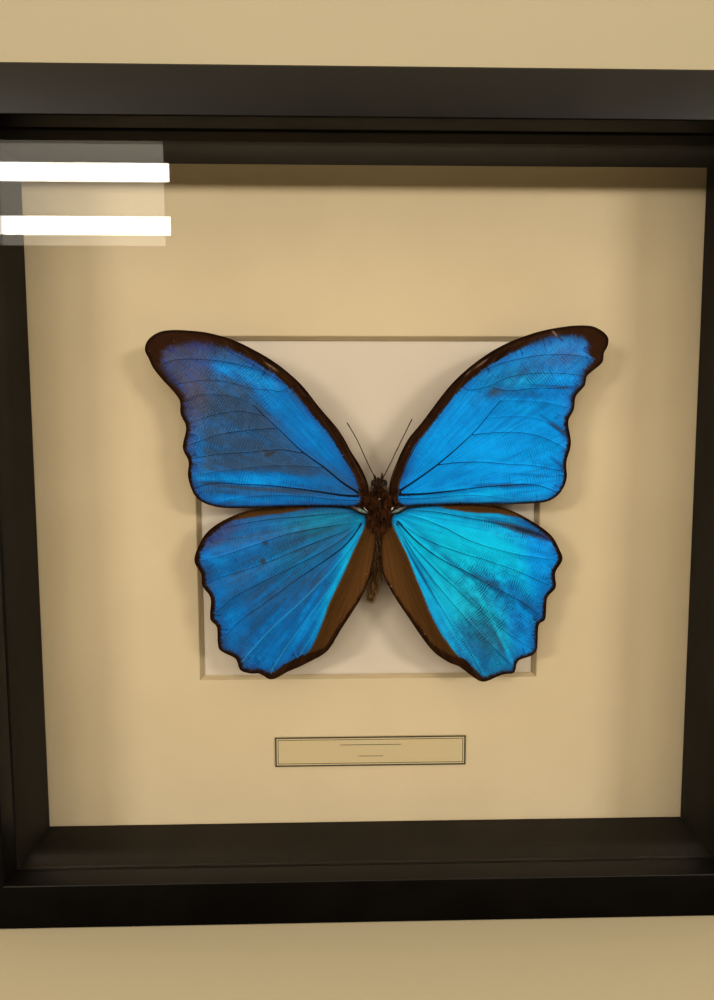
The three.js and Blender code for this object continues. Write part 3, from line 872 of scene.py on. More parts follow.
def plateOutline(node, outward):  # the front edge of a CAD wing, in order, as (outwards, up) in mm
    mesh = nodes[node].data
    front = min(v.co.y for v in mesh.vertices)
    spot = {}
    for v in mesh.vertices:
        if abs(v.co.y - front) < 1e-6:
            spot[v.index] = (round(v.co.x, 7), round(v.co.z, 7))
    edges = []
    for face in mesh.polygons:
        corners = list(face.vertices)
        if all(c in spot for c in corners):
            edges += [(spot[a], spot[b]) for a, b in zip(corners, corners[1:] + corners[:1])]
    following = dict(openEdges(edges))
    start = min(following, key=lambda q: abs(q[0] - wingMiddle[0]) + abs(q[1] - wingMiddle[1]))
    loop = [start]
    while following[loop[-1]] != start:
        loop.append(following[loop[-1]])
    return np.array([((x - wingMiddle[0]) * outward / mm, (z - wingMiddle[1]) / mm) for x, z in loop])


def lineGap(points, line):  # each point's distance to a line, share of the way along it, and side
    starts, steps = line[:-1], np.diff(line, axis=0)
    lengths = np.maximum((steps ** 2).sum(1), 1e-12)
    runs = np.concatenate([[0], np.cumsum(np.sqrt(lengths))])
    best = np.full(len(points), np.inf)
    along = np.zeros(len(points))
    side = np.zeros(len(points))
    for i in range(len(starts)):
        away = points - starts[i]
        share = np.clip((away @ steps[i]) / lengths[i], 0, 1)
        gap = np.linalg.norm(away - share[:, None] * steps[i], axis=1)
        closer = gap < best
        best[closer] = gap[closer]
        along[closer] = (runs[i] + share * math.sqrt(lengths[i]))[closer]
        side[closer] = np.sign(steps[i][0] * away[:, 1] - steps[i][1] * away[:, 0])[closer]
    return best, along / runs[-1], side


def insideOf(points, loop):
    inside = np.zeros(len(points), bool)
    for (ax, az), (bx, bz) in zip(loop, np.roll(loop, -1, axis=0)):
        if az == bz:
            continue
        crosses = (points[:, 1] < az) != (points[:, 1] < bz)
        reach = ax + (points[:, 1] - az) * (bx - ax) / (bz - az)
        inside ^= crosses & (points[:, 0] < reach)
    return inside


def farEnough(points, taken, least):  # keeps the points that have no taken point nearby
    grid = {}
    for q in taken:
        grid.setdefault((math.floor(q[0] / least), math.floor(q[1] / least)), []).append(q)
    kept = []
    for q in points:
        i, j = math.floor(q[0] / least), math.floor(q[1] / least)
        near = (o for a in (-1, 0, 1) for b in (-1, 0, 1) for o in grid.get((i + a, j + b), ()))
        if all((q[0] - o[0]) ** 2 + (q[1] - o[1]) ** 2 > least * least for o in near):
            kept.append(q)
            grid.setdefault((i, j), []).append(q)
    return kept


def patches(points, field):  # a base value, then soft ellipses: x, z, half length, half width, angle, amount
    total = np.full(len(points), float(field[0]))
    for x, z, length, width, angle, amount in field[1:]:
        c, s = math.cos(math.radians(angle)), math.sin(math.radians(angle))
        dx, dz = points[:, 0] - x, points[:, 1] - z
        reach = ((dx * c + dz * s) / length) ** 2 + ((dz * c - dx * s) / width) ** 2
        total += amount * np.exp(-0.5 * reach ** 1.25)
    return total


def waves(values, seed, parts, low, high):  # a smooth irregular curve between about -1 and 1
    chance = np.random.default_rng(seed)
    total = np.zeros(len(values))
    for _ in range(parts):
        total += np.sin(values * chance.uniform(low, high) + chance.uniform(0, 6.28))
    return total / parts * 1.6


def wingPoints(loop, ring, veins, s, chance):  # the margin, the veins and their feet, then the membrane
    def within(spots, kind):  # the spots inside the outline that stay clear of its edge
        gap, _, _ = lineGap(spots, ring)
        return [tuple(q) for q in spots[insideOf(spots, loop) & (gap > s["inset"][kind])]]

    points = [tuple(q) for q in loop]
    edges = [(i, (i + 1) % len(loop)) for i in range(len(loop))]
    for vein in veins:
        kept = farEnough(within(vein, "vein"), points, s["apart"]["vein"])
        first = len(points)
        points += kept
        for i in range(len(kept) - 1):
            if math.dist(kept[i], kept[i + 1]) < s["veinBreak"] * s["veinSpacing"]:
                edges.append((first + i, first + i + 1))
    feet = []
    for vein in veins:
        along = np.gradient(vein, axis=0)
        along /= np.linalg.norm(along, axis=1)[:, None]
        width = np.linspace(*s["veinWidth"], len(vein))
        across = np.stack([-along[:, 1], along[:, 0]], 1) * width[:, None]
        feet += [*(vein + across), *(vein - across)]
    points += farEnough(within(np.array(feet), "foot"), points, s["apart"]["foot"])
    low, high = loop.min(0), loop.max(0)
    grid = []
    rowGap = s["spacing"] * math.sqrt(3) / 2
    for row, z in enumerate(np.arange(low[1], high[1], rowGap)):
        for x in np.arange(low[0] + (row % 2) * s["spacing"] / 2, high[0], s["spacing"]):
            grid.append((x, z))
    grid = np.array(grid) + (chance.random((len(grid), 2)) - 0.5) * s["spacing"] * s["jitter"]
    points += farEnough(within(grid, "membrane"), points, s["apart"]["membrane"])
    return points, edges


def wingFields(name, wing, outward, ring, veins, spots, s):  # heights, and what the colours follow
    hind = name.startswith("hind")
    edgeGap, edgeRun, _ = lineGap(spots, ring)
    radius = np.hypot(spots[:, 0], spots[:, 1])
    angle = np.arctan2(spots[:, 1], spots[:, 0])
    marks = np.array([lineGap(np.array([[x, z]]), ring)[1][0] for x, z, _ in wing["border"]])
    order = np.argsort(marks)
    widths = np.array([w for _, _, w in wing["border"]])[order]
    border = np.interp(edgeRun, marks[order], widths, period=1)
    veinGap = np.full(len(spots), s["far"])
    paleGap = np.full(len(spots), s["far"])
    lift = np.zeros(len(spots))
    rootWidth, endWidth = s["veinWidth"]
    rootLine, endLine = s["lineWidth"]
    for i, vein in enumerate(veins):
        gap, along, _ = lineGap(spots, vein)
        width = rootWidth + (endWidth - rootWidth) * along
        line = endLine + (rootLine - endLine) * np.clip(1 - radius / s["lineReach"], 0, 1) ** 2
        if i in wing["bold"]:
            line *= s["boldLine"] * (s["hindBold"] if hind else 1)
        elif i in wing.get("faint", ()):
            line *= s["faintLine"]
        elif hind:
            begin, growth, least, most = s["hindLine"]
            line *= np.clip((radius - begin) / growth, least, most)
        if i in wing.get("pale", ()):
            paleGap = np.minimum(paleGap, gap)
        else:
            veinGap = np.minimum(veinGap, gap - line / 2 + 0.3 * np.clip(s["lineStart"] - radius, 0, 1))
        lift += s["veinHeight"] * (1.2 - 0.5 * along) * np.exp(-(gap / width) ** 2)
        bent = s["fold"] * (1 if i % 2 else -1) * np.exp(-(gap / s["foldReach"]) ** 2)
        lift += bent * (0.4 + 0.6 * along)
    brown = np.full(len(spots), -s["far"])
    for line in wing.get("brown", []):
        gap, _, side = lineGap(spots, smoothLine(line, s["brownSpacing"]))
        brown = np.maximum(brown, -gap * side)
    seeds = s["seeds"]
    root = wing["root"] + s["rootWave"] * waves(angle * 3, seeds["root"], 5, 0.6, 3.0) - radius
    reach = np.clip(radius / s["waveReach"], 0, 1)
    lift += s["pleat"] * waves(angle * 24, seeds["pleat"] + len(name), 5, 0.5, 1.6) * reach
    lift += s["sway"] * waves(radius * 0.16 + angle * 2, seeds["sway"] + outward, 4, 0.6, 1.4) * reach
    lift += s["curl"] * np.exp(-edgeGap / s["curlReach"]) * waves(edgeRun * 90, seeds["curl"], 5, 0.5, 1.8)
    fields = {
        "edgeGap": edgeGap - border, "rimGap": edgeGap, "veinGap": veinGap, "paleGap": paleGap,
        "brown": brown, "root": root, "flowAlong": radius, "flowAcross": angle * 40, "rimRun": edgeRun,
    }
    # these include the painted sheen and the painted highlights
    for field in ("ripple", "worn", "sheen", "teal", "rub", "gleam"):
        fields[field] = patches(spots, wing.get(field, [0.0]))
    return lift, fields


def wingMesh(name, wing, s):
    outward = -1 if name.endswith("left") else 1
    chance = np.random.default_rng(len(name) * 7 + outward)
    loop = smoothLine(plateOutline(name, outward), s["edgeSpacing"], closed=True)
    everySecond = (np.arange(len(loop)) % 2)[:, None]
    loop += (chance.random((len(loop), 2)) - 0.5) * s["fringe"] * everySecond
    ring = np.vstack([loop, loop[:1]])
    veins = [smoothLine(v, s["veinSpacing"]) for v in wing["veins"]]
    points, edges = wingPoints(loop, ring, veins, s, chance)
    flat = [Vector(q) for q in points]
    found = delaunay_2d_cdt(flat, edges, [list(range(len(loop)))], 1, 1e-5)
    spots = np.array([tuple(q) for q in found[0]])
    triangles = np.array([list(f) for f in found[2]])
    lift, fields = wingFields(name, wing, outward, ring, veins, spots, s)
    return {"outward": outward, "spots": spots, "triangles": triangles, "lift": lift, "fields": fields}


def wingObject(name, data, s, materials):
    low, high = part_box(name)
    level = (low[1] + high[1]) / 2
    spots, triangles = data["spots"], data["triangles"]
    count = len(spots)
    x = wingMiddle[0] + data["outward"] * spots[:, 0] * mm
    z = wingMiddle[1] + spots[:, 1] * mm
    top = np.stack([x, level - data["lift"] * mm, z], 1)
    under = top + np.array([0, s["thickness"] * mm, 0])
    first, second, third = (top[triangles[:, k]] for k in (0, 1, 2))
    forward = np.cross(second - first, third - first)[:, 1] < 0
    front = np.where(forward[:, None], triangles, triangles[:, ::-1])
    edges = np.vstack([front[:, [0, 1]], front[:, [1, 2]], front[:, [2, 0]]]).tolist()
    rim = [(b, a, a + count, b + count) for a, b in openEdges(edges)]
    faces = [tuple(t) for t in front.tolist()]
    faces += [tuple(t) for t in (front[:, ::-1] + count).tolist()]
    faces += rim
    mesh = bpy.data.meshes.new(name)
    mesh.from_pydata(np.vstack([top, under]).tolist(), [], faces)
    for material in materials:
        mesh.materials.append(material)
    kinds = np.zeros(len(faces), np.int32)
    kinds[len(front):2 * len(front)] = 1
    mesh.polygons.foreach_set("material_index", kinds)
    for field, values in data["fields"].items():
        store = mesh.attributes.new(field, "FLOAT", "POINT").data
        store.foreach_set("value", np.tile(values, 2).astype(np.float32))
    mesh.shade_smooth()
    mesh.set_sharp_from_angle(angle=math.radians(s["sharpAngle"]))
    piece = bpy.data.objects.new(name.replace("_", "-"), mesh)
    bpy.context.scene.collection.objects.link(piece)
    return piece


def wingPatterns(f):  # the fields and noises that several layers share
    spot, edge = f.place(), f.attribute("edgeGap")
    along, across = f.attribute("flowAlong"), f.attribute("flowAcross")
    grain, speck = f.noise(spot, 2.6, 3.0, 0.7), f.noise(spot, 6.0, 2.0, 0.6)
    bend = f.noise(spot, 0.32, 2.0, 0.5)
    rows = f.add("ShaderNodeMath", {"operation": "SINE"}, {0: along * 8.2 + bend * 15})
    rippled = f.noise(spot, 0.3, 3.0, 0.7).step(0.34, 0.6) * f.attribute("ripple")
    return SimpleNamespace(
        spot=spot, edge=edge, along=along, across=across, grain=grain, speck=speck,
        cloud=f.noise(spot, 0.16, 3.0, 0.6),
        streak=f.noise(f.join(along * 0.06, across * 0.9), 1.0, 4.0, 0.65),
        fold=f.noise(f.join(along * 0.035, across * 0.42), 1.0, 3.0, 0.6),
        notch=f.noise(f.join(f.attribute("rimRun") * 210, edge * 0.22), 1.0, 3.0, 0.6),
        ripple=(rows * 0.5 + 0.5) * rippled,
        bare=(f.attribute("rub") + grain.swing(0.5) + speck.swing(0.4)).step(0.25, 0.75),
    )


def wingBlue(f, p):
    # painted sheen: the blue's brightness by place, dulled along creases and ripples
    crease = f.noise(f.join(p.along * 0.03, p.across * 1.7), 1.0, 2.0, 0.5).step(0.62, 0.72)
    paintedShine = f.attribute("sheen") + p.streak.swing(0.8) + p.fold.swing(0.55) + p.cloud.swing(0.35)
    paintedShine = paintedShine - p.ripple * 0.2 + p.grain.swing(0.3) - crease * 0.16
    tint = f.attribute("teal") + p.cloud.swing(0.35) + p.streak.swing(0.3)
    levels = []  # painted sheen levels: dull, middling and bright, each violet, azure and teal
    for violet, azure, teal in (
        ((0.085, 0.077, 0.118), (0.045, 0.083, 0.16), (0.04, 0.12, 0.185)),
        ((0.048, 0.097, 0.3), (0.0055, 0.155, 0.43), (0.008, 0.2, 0.36)),
        ((0.06, 0.165, 0.53), (0.0035, 0.275, 0.66), (0.005, 0.45, 0.66)),
    ):
        levels.append(f.blend(tint.step(-0.75, 0.0), violet, f.blend(tint.step(0.2, 1.0), azure, teal)))
    dull, middling, bright = levels
    hairline = f.noise(f.join(p.along * 0.05, p.across * 3.4), 1.0, 2.0, 0.5).step(0.62, 0.7)
    fleck = (p.grain * 0.5 + p.speck * 0.5).step(0.47, 0.6) * f.attribute("worn")
    hem = p.edge.lower(0.1, 3.0) * p.streak.step(0.35, 0.65)
    outer = p.along.step(36, 50)
    lively = f.blend(paintedShine.step(0.45, 1.05), middling, bright)
    return f.layered(f.blend(paintedShine.step(0.0, 0.55), dull, lively), [
        # painted highlight where the sheen is strongest, and painted shade where it falls away
        (paintedShine.step(1.0, 1.5) * 0.4, (0.008, 0.44, 0.8)),
        (paintedShine.lower(-0.95, -0.25), (0.01, 0.017, 0.04)),
        (hairline * 0.4, (0.008, 0.04, 0.09)),
        (p.ripple * 0.8, (0.006, 0.03, 0.065)),
        (fleck * 0.55, (0.15, 0.17, 0.21)),
        (p.speck.step(0.58, 0.7) * 0.3, (0.08, 0.23, 0.45)),
        (p.bare * 0.75, (0.05, 0.042, 0.04)),
        (hem * 0.6, (0.03, 0.03, 0.15)),
        (p.notch.step(0.56, 0.68) * p.edge.lower(0.6, 5.0) * outer * 0.65, (0.006, 0.03, 0.1)),
        (p.notch.lower(0.32, 0.42) * p.edge.lower(0.8, 5.5) * outer * 0.5, (0.02, 0.17, 0.55)),
        (f.attribute("paleGap").lower(0.05, 0.35) * 0.5, (0.03, 0.3, 0.55)),
    ])


def wingScales():
    f = Finish("wingScales")
    p = wingPatterns(f)
    brown = f.attribute("brown")
    soft = brown + p.grain.swing(1.0) + p.streak.swing(1.2)
    inFold = soft.step(-0.4, 0.4)
    wood = f.layered(f.blend(p.streak.step(0.3, 0.7), (0.054, 0.027, 0.0088), (0.081, 0.041, 0.013)), [
        (brown.step(1.0, 7.0) * p.fold.step(0.3, 0.6), (0.105, 0.054, 0.022)),
        (p.grain.step(0.5, 0.8) * 0.3, (0.11, 0.055, 0.02)),
        (soft.lower(0.1, 1.1) * p.speck.step(0.4, 0.6) * 0.4, (0.13, 0.075, 0.022)),
    ])
    dusting = p.along.step(60, 78) * 0.7
    dark = f.layered(f.blend(p.cloud.step(0.3, 0.7), (0.017, 0.0068, 0.003), (0.034, 0.014, 0.0055)), [
        (p.streak.step(0.45, 0.75) * 0.55, (0.085, 0.04, 0.018)),
        (dusting, (0.044, 0.0195, 0.0085)),
    ])
    ragged = p.edge + p.grain.swing(1.1 + dusting * 3) + p.streak.swing(1.4 + dusting * 3)
    ragged = ragged - p.notch.swing(1.6)
    atRoot = f.attribute("root") + p.grain.swing(2) + p.streak.swing(2)
    margin = ragged.lower(-0.35 - dusting * 1.6, 0.35 + dusting * 1.2).most(atRoot.step(-0.4, 0.6))
    plain = margin.most(inFold)
    lineEdge = f.attribute("veinGap") + p.grain.swing(0.1)
    line = lineEdge.lower(-0.06, 0.06) * (0.6 + 0.4 * p.streak.step(0.2, 0.6))
    ink = f.blend(plain, (0.006, 0.005, 0.008), (0.085, 0.045, 0.02))
    # painted highlights: thin pale glints on ridges and veins
    paintedGlint = (f.attribute("gleam") + p.speck.swing(0.7) + p.streak.swing(0.5)).step(0.3, 0.9)
    dust = f.noise(p.spot, 1.7, 1.0, 0.4).step(0.8, 0.83)
    colour = f.layered(f.blend(inFold, wingBlue(f, p), wood), [
        (margin, dark),
        (f.attribute("rimGap").lower(0.2, 1.2) * (0.75 - inFold * 0.5), (0.009, 0.0045, 0.0035)),
        (line * (0.95 - plain * 0.5), ink),
        (paintedGlint * 0.6, (0.27, 0.19, 0.15)),
        (dust * 0.7, (0.4, 0.38, 0.33)),
    ])
    isBlue = (1 - plain) * (1 - p.bare * 0.7)
    height = p.ripple * 0.4 + p.grain * 0.5 + p.streak * 0.8
    return f.surface(
        Base_Color=colour, Roughness=0.66 - 0.2 * isBlue + 0.12 * p.grain, Metallic=isBlue * 0.25,
        Normal=f.bump(height, 0.05, 0.5), Specular_IOR_Level=0.05,
    )


def wingUnderside():
    f = Finish("wingUnderside")
    along, across = f.attribute("flowAlong"), f.attribute("flowAcross")
    band = f.noise(f.join(along * 0.14, across * 0.03), 1.0, 4.0, 0.6)
    grain = f.noise(f.place(), 2.6, 3.0, 0.7)
    colour = f.blend(band.step(0.35, 0.65), (0.075, 0.036, 0.016), (0.2, 0.125, 0.065))
    colour = f.blend(f.attribute("veinGap").lower(-0.05, 0.1) * 0.7, colour, (0.03, 0.014, 0.007))
    return f.surface(Base_Color=colour, Roughness=0.72 + 0.15 * grain, Normal=f.bump(grain, 0.04, 0.5))


wingMaterials = [wingScales(), wingUnderside()]
for name, wing in wings.items():
    data = wingMesh(name, wing, wingSettings)
    piece = wingObject(name, data, wingSettings, wingMaterials)
    settle(piece, name)
    print(name, len(data["spots"]), "points,", len(data["triangles"]), "triangles a side")


# hair: short bent spikes scattered by Geometry Nodes

hairSettings = {
    "tip": 0.12,  # radius, as a share of the foot's
    "sides": 3,
    "segments": 3,
    "drift": 0.45,  # how far single hairs turn from the lie of the rest
    "sizes": (0.55, 1.25),
}


def furTree(s):
    tree = bpy.data.node_groups.new("fur", "GeometryNodeTree")
    face = tree.interface
    face.new_socket("Geometry", in_out="INPUT", socket_type="NodeSocketGeometry")
    for title, value in (("Density", 8e6), ("Length", 1.2), ("Thickness", 0.05), ("Lean", 0.6), ("Seed", 1)):
        kind = "NodeSocketInt" if title == "Seed" else "NodeSocketFloat"
        face.new_socket(title, in_out="INPUT", socket_type=kind).default_value = value
    face.new_socket("Comb", in_out="INPUT", socket_type="NodeSocketVector").default_value = (0, -0.3, -1)
    face.new_socket("Finish", in_out="INPUT", socket_type="NodeSocketMaterial")
    face.new_socket("Geometry", in_out="OUTPUT", socket_type="NodeSocketGeometry")
    g = Graph(tree)
    start = tree.nodes.new("NodeGroupInput")
    given = {s.name: Wire(g, s) for s in start.outputs if s.name}
    scatter = g.add(
        "GeometryNodeDistributePointsOnFaces", {},
        {"Mesh": given["Geometry"], "Density": given["Density"], "Seed": given["Seed"]}, out="Points",
    )
    hair = g.add("GeometryNodeMeshCone", {"fill_type": "NONE"}, {
        "Vertices": s["sides"], "Side Segments": s["segments"],
        "Radius Top": s["tip"], "Radius Bottom": 1.0, "Depth": 1.0,
    }, out="Mesh")
    height = g.split(g.add("GeometryNodeInputPosition"))[2]
    lean = given["Lean"] * height * height
    bent = g.add("GeometryNodeSetPosition", {}, {"Geometry": hair, "Offset": g.join(lean, 0.0, 0.0)})
    shaped = g.add("GeometryNodeTransform", {}, {
        "Geometry": bent,
        "Scale": g.join(given["Thickness"] * mm, given["Thickness"] * mm, given["Length"] * mm),
    })
    drift = g.add("FunctionNodeRandomValue", {"data_type": "FLOAT_VECTOR"}, {
        0: (-s["drift"],) * 3, 1: (s["drift"],) * 3, "Seed": given["Seed"],
    })
    way = scatter.twin("Normal")
    for push in (given["Comb"], drift):
        way = g.add("ShaderNodeVectorMath", {"operation": "ADD"}, {0: way, 1: push}, out="Vector")
    turnTo = g.add("FunctionNodeAlignRotationToVector", {"axis": "Z"}, {"Vector": way})
    least, most = s["sizes"]
    size = g.add("FunctionNodeRandomValue", {"data_type": "FLOAT"}, {
        2: least, 3: most, "Seed": given["Seed"],
    }, out=1)
    placed = g.add("GeometryNodeInstanceOnPoints", {}, {
        "Points": scatter, "Instance": shaped, "Rotation": turnTo, "Scale": size,
    })
    whole = g.add("GeometryNodeRealizeInstances", {}, {"Geometry": placed})
    coated = g.add("GeometryNodeSetMaterial", {}, {"Geometry": whole, "Material": given["Finish"]})
    end = tree.nodes.new("NodeGroupOutput")
    tree.links.new(coated.socket, end.inputs[0])
    return tree


def grow(piece, tree, values):  # the tree's result on a piece, as a plain mesh of its own
    modifier = piece.modifiers.new("fur", "NODES")
    modifier.node_group = tree
    for item in tree.interface.items_tree:
        if item.item_type == "SOCKET" and item.in_out == "INPUT" and item.name in values:
            modifier[item.identifier] = values[item.name]
    bpy.context.view_layer.update()
    seen = piece.evaluated_get(bpy.context.evaluated_depsgraph_get())
    mesh = bpy.data.meshes.new_from_object(seen)
    piece.modifiers.remove(modifier)
    return mesh


def bodyChitin():
    f = Finish("bodyChitin")
    grain = f.noise(f.place(), 1.6, 4.0, 0.65)
    colour = f.blend(grain.step(0.35, 0.7), (0.012, 0.006, 0.0035), (0.035, 0.017, 0.009))
    return f.surface(
        Base_Color=colour, Roughness=0.55 + 0.2 * grain, Normal=f.bump(grain, 0.08, 0.6),
        Specular_IOR_Level=0.2,
    )


def bodyHair(name, low, high, tip):
    f = Finish(name)
    clump = f.noise(f.place((1.1, 1.1, 0.3)), 1.0, 3.0, 0.6)
    strand = f.noise(f.place((3, 3, 0.8)), 1.0, 2.0)
    colour = f.blend(clump.step(0.42, 0.58), low, high)
    colour = f.blend(strand.step(0.56, 0.7) * 0.45, colour, tip)
    return f.surface(Base_Color=colour, Roughness=0.9, Specular_IOR_Level=0.03)


def eyeFacets():
    f = Finish("eyeFacets")
    cell = f.cells(9.0)
    colour = f.blend(cell.step(0.2, 0.6), (0.036, 0.018, 0.009), (0.014, 0.007, 0.004))
    return f.surface(Base_Color=colour, Roughness=0.22 + 0.1 * cell, Normal=f.bump(cell, 0.02, 0.5))


def hingePlate():  # pale in its middle, brown at both tips
    f = Finish("hingePlate")
    spot = f.place()
    grain = f.noise(spot, 3.0, 3.0)
    away = abs(f.split(spot)[0] - wingMiddle[0] / mm)
    colour = f.layered(f.blend(grain.step(0.35, 0.65), (0.05, 0.075, 0.085), (0.17, 0.215, 0.21)), [
        (away.step(5.9, 7.8), (0.045, 0.022, 0.016)),
        (away.lower(3.6, 4.8), (0.03, 0.025, 0.012)),
    ])
    return f.surface(Base_Color=colour, Roughness=0.4 + 0.2 * grain)


def palePlate(name, low, high):
    f = Finish(name)
    grain = f.noise(f.place(), 3.0, 3.0)
    return f.surface(Base_Color=f.blend(grain.step(0.3, 0.7), low, high), Roughness=0.4 + 0.2 * grain)


bodyFinishes = {
    "chitin": bodyChitin(), "eye": eyeFacets(), "hinge": hingePlate(),
    "hair": bodyHair("bodyHair", (0.016, 0.0065, 0.003), (0.15, 0.063, 0.028), (0.28, 0.14, 0.065)),
    "tailHair": bodyHair("tailHair", (0.11, 0.062, 0.028), (0.31, 0.19, 0.095), (0.42, 0.28, 0.16)),
    "pale": palePlate("palePlate", (0.3, 0.31, 0.28), (0.5, 0.5, 0.45)),
    "collar": palePlate("collarPlate", (0.05, 0.022, 0.01), (0.15, 0.085, 0.045)),
    "rim": palePlate("darkRim", (0.002, 0.0012, 0.001), (0.006, 0.003, 0.002)),
}
fur = furTree(hairSettings)


def lumpy(centre, size, rings=28, sides=36, wobble=0.04):  # a rounded solid, in mm
    phase = 3  # where its lumps fall
    vertices = []
    for i in range(rings + 1):
        share = i / rings
        ring = math.sin(math.pi * share) ** 0.8
        z = math.cos(math.pi * share)
        for j in range(sides):
            a = 2 * math.pi * j / sides
            swell = 1 + wobble * math.sin(3 * a + 5 * share + phase) * math.sin(7 * share + phase)
            vertices.append((
                centre[0] + size[0] / 2 * ring * swell * math.cos(a),
                centre[1] + size[1] / 2 * ring * swell * math.sin(a),
                centre[2] + size[2] / 2 * z,
            ))
    return vertices, tubeFaces(rings + 1, sides)


def bodyPoint(x, depth, z):  # outwards, depth behind the frame's front and height, in mm
    return Vector((wingMiddle[0] + x * mm, frontY + depth * mm, wingMiddle[1] + z * mm))


def sweep(route, radii, sides, rings):  # a round piece along a smooth curve, closed at both ends
    way = np.asarray(route, float)
    run = np.linspace(0, 1, rings)
    dense = [pointAlong(way, t) for t in run]
    vertices = []
    for i, point in enumerate(dense):
        ahead = np.asarray(dense[min(i + 1, rings - 1)]) - np.asarray(dense[max(i - 1, 0)])
        forward = Vector(ahead).normalized()
        across = forward.cross(Vector((0, 1, 0))).normalized()
        upward = across.cross(forward)
        radius = float(radii(run[i]))
        for j in range(sides):
            a = 2 * math.pi * j / sides
            vertices.append(tuple(Vector(point) + radius * (math.cos(a) * across + math.sin(a) * upward)))
    ends = [tuple(range(sides)), tuple(range((rings - 1) * sides, rings * sides))]
    return vertices, tubeFaces(rings, sides) + ends


def pointAlong(points, t):
    spans = len(points) - 1
    i = min(int(t * spans), spans - 1)
    return catmull(*(points[min(max(i + k, 0), spans)] for k in (-1, 0, 1, 2)), t * spans - i)


def fromParts(name, parts):  # parts: (vertices in body mm, faces, material)
    sharp = 50  # degrees
    vertices, faces, kinds, materials = [], [], [], []
    for points, surfaces, material in parts:
        first = len(vertices)
        vertices += [bodyPoint(*p) for p in points]
        faces += [tuple(first + i for i in f) for f in surfaces]
        if material not in materials:
            materials.append(material)
        kinds += [materials.index(material)] * len(surfaces)
    return makeObject(name, vertices, faces, materials, smooth=sharp, faceMaterials=kinds)


def joined(piece, meshes):  # adds grown meshes to a piece
    extra = []
    for mesh in meshes:
        thing = bpy.data.objects.new("grown", mesh)
        bpy.context.scene.collection.objects.link(thing)
        extra.append(thing)
    for other in bpy.context.selected_objects:
        other.select_set(False)
    for thing in [*extra, piece]:
        thing.select_set(True)
    bpy.context.view_layer.objects.active = piece
    bpy.ops.object.join()
    return piece


thoraxSettings = {
    "centre": (0, 24.2, -0.7), "size": (6.8, 6.4, 13.6),  # mm
    "shoulder": ((3.9, 22.8, 1.6), (3.0, 2.2, 5.4)),
    "collar": ((0, 22.6, 6.1), (2.3, 0.16)),  # centre, then ring radius and thickness
    "podRoute": [(3.4, 20.9, -1.7), (5.4, 20.7, -1.0), (7.4, 20.9, -0.1), (9.0, 21.4, 0.7)],
    "podRadius": (0.12, 0.98),
    "podFill": (0.04, 0.66),
    "podRise": (0.45, 0.14),  # how far the pale plate stands in front of its dark rim and above it
    "flecks": {  # by side: route, and radius in its middle
        -1: ([(-5.1, 20.2, 0.5), (-4.4, 19.9, -0.2), (-3.7, 19.9, -0.9)], 0.13),
        1: ([(4.4, 20.2, 0.5), (4.1, 19.9, 0.0), (3.8, 19.9, -0.6)], 0.26),
    },
    "fleckEnd": 0.03,
    "fur": {
        "Density": 1.1e7, "Length": 1.9, "Thickness": 0.13, "Lean": 0.6, "Seed": 4, "Comb": (0, -0.15, -0.75),
    },
    "wisps": {
        "Density": 2.0e6, "Length": 2.4, "Thickness": 0.07, "Lean": 0.9, "Seed": 5, "Comb": (0, 0, -0.2),
    },
}
headSettings = {
    "centre": (0, 23.4, 7.5), "size": (3.6, 3.4, 3.2),
    "eyeSize": (1.9, 2.2, 2.1), "eyeOut": 1.6, "eyeForward": 0.5, "eyeRise": 0.5,
    "eyeRim": (0.9, 0.24),  # ring radius and thickness
    "rimForward": 0.7,  # in front of the eye's middle
    "fur": {
        "Density": 1.2e7, "Length": 0.55, "Thickness": 0.07, "Lean": 0.6, "Seed": 7, "Comb": (0, -0.3, 0.2),
    },
    "palps": {
        -1: [(-0.9, 22.2, 8.6), (-1.35, 21.7, 9.7), (-1.65, 21.4, 10.7)],
        1: [(0.7, 22.2, 8.6), (0.85, 21.7, 9.9), (1.0, 21.4, 11.2)],
    },
    "palpTaper": (0.52, 0.4),  # radius at the foot, and what it loses
    "tongue": [(-0.35, 21.8, 8.7), (-0.35, 21.5, 9.9)],
    "tongueTaper": (0.36, 0.1),
}
abdomenSettings = {
    "route": [(0, 26, -6.4), (-0.4, 27.2, -16), (-1.2, 28.6, -25), (-2.5, 30, -32)],
    "radii": [  # share of the way, radius
        (0, 1.9), (0.1, 1.7), (0.25, 1.6), (0.45, 1.6), (0.65, 1.5), (0.82, 1.25), (0.94, 0.9), (1, 0.15),
    ],
    "segments": 9,
    "fur": {
        "Density": 1.2e7, "Length": 1.2, "Thickness": 0.08, "Lean": 0.5, "Seed": 9, "Comb": (0, -0.1, -1.1),
    },
}
antennaSettings = {
    "left": [(-1.1, 22.6, 9.3), (-4.2, 22, 15.6), (-7, 21.4, 21.7), (-10.2, 20.8, 27.2)],
    "right": [(1.1, 22.6, 9.3), (3.5, 22, 14), (5.7, 21.6, 18.7), (10.4, 20.8, 28.4)],
    "radius": 0.14, "club": 0.17, "rings": 150, "sides": 8, "joints": 46,
}


def leafRadius(ends, middle):  # thin at both ends and full in the middle
    return lambda t: ends + (middle - ends) * math.sin(math.pi * t) ** 0.8


def taper(start, loss):
    return lambda t: start - loss * t


def ring(centre, radius, thickness, widen):  # a ring that faces the front, wider than high if widen is over 1
    sides, steps = 8, 36
    vertices = []
    for i in range(steps):
        a = 2 * math.pi * i / steps
        for j in range(sides):
            b = 2 * math.pi * j / sides
            reach = radius + thickness * math.cos(b)
            vertices.append((
                centre[0] + reach * math.cos(a) * widen, centre[1] + thickness * math.sin(b),
                centre[2] + reach * math.sin(a),
            ))
    return vertices, tubeFaces(steps, sides, closed=True)


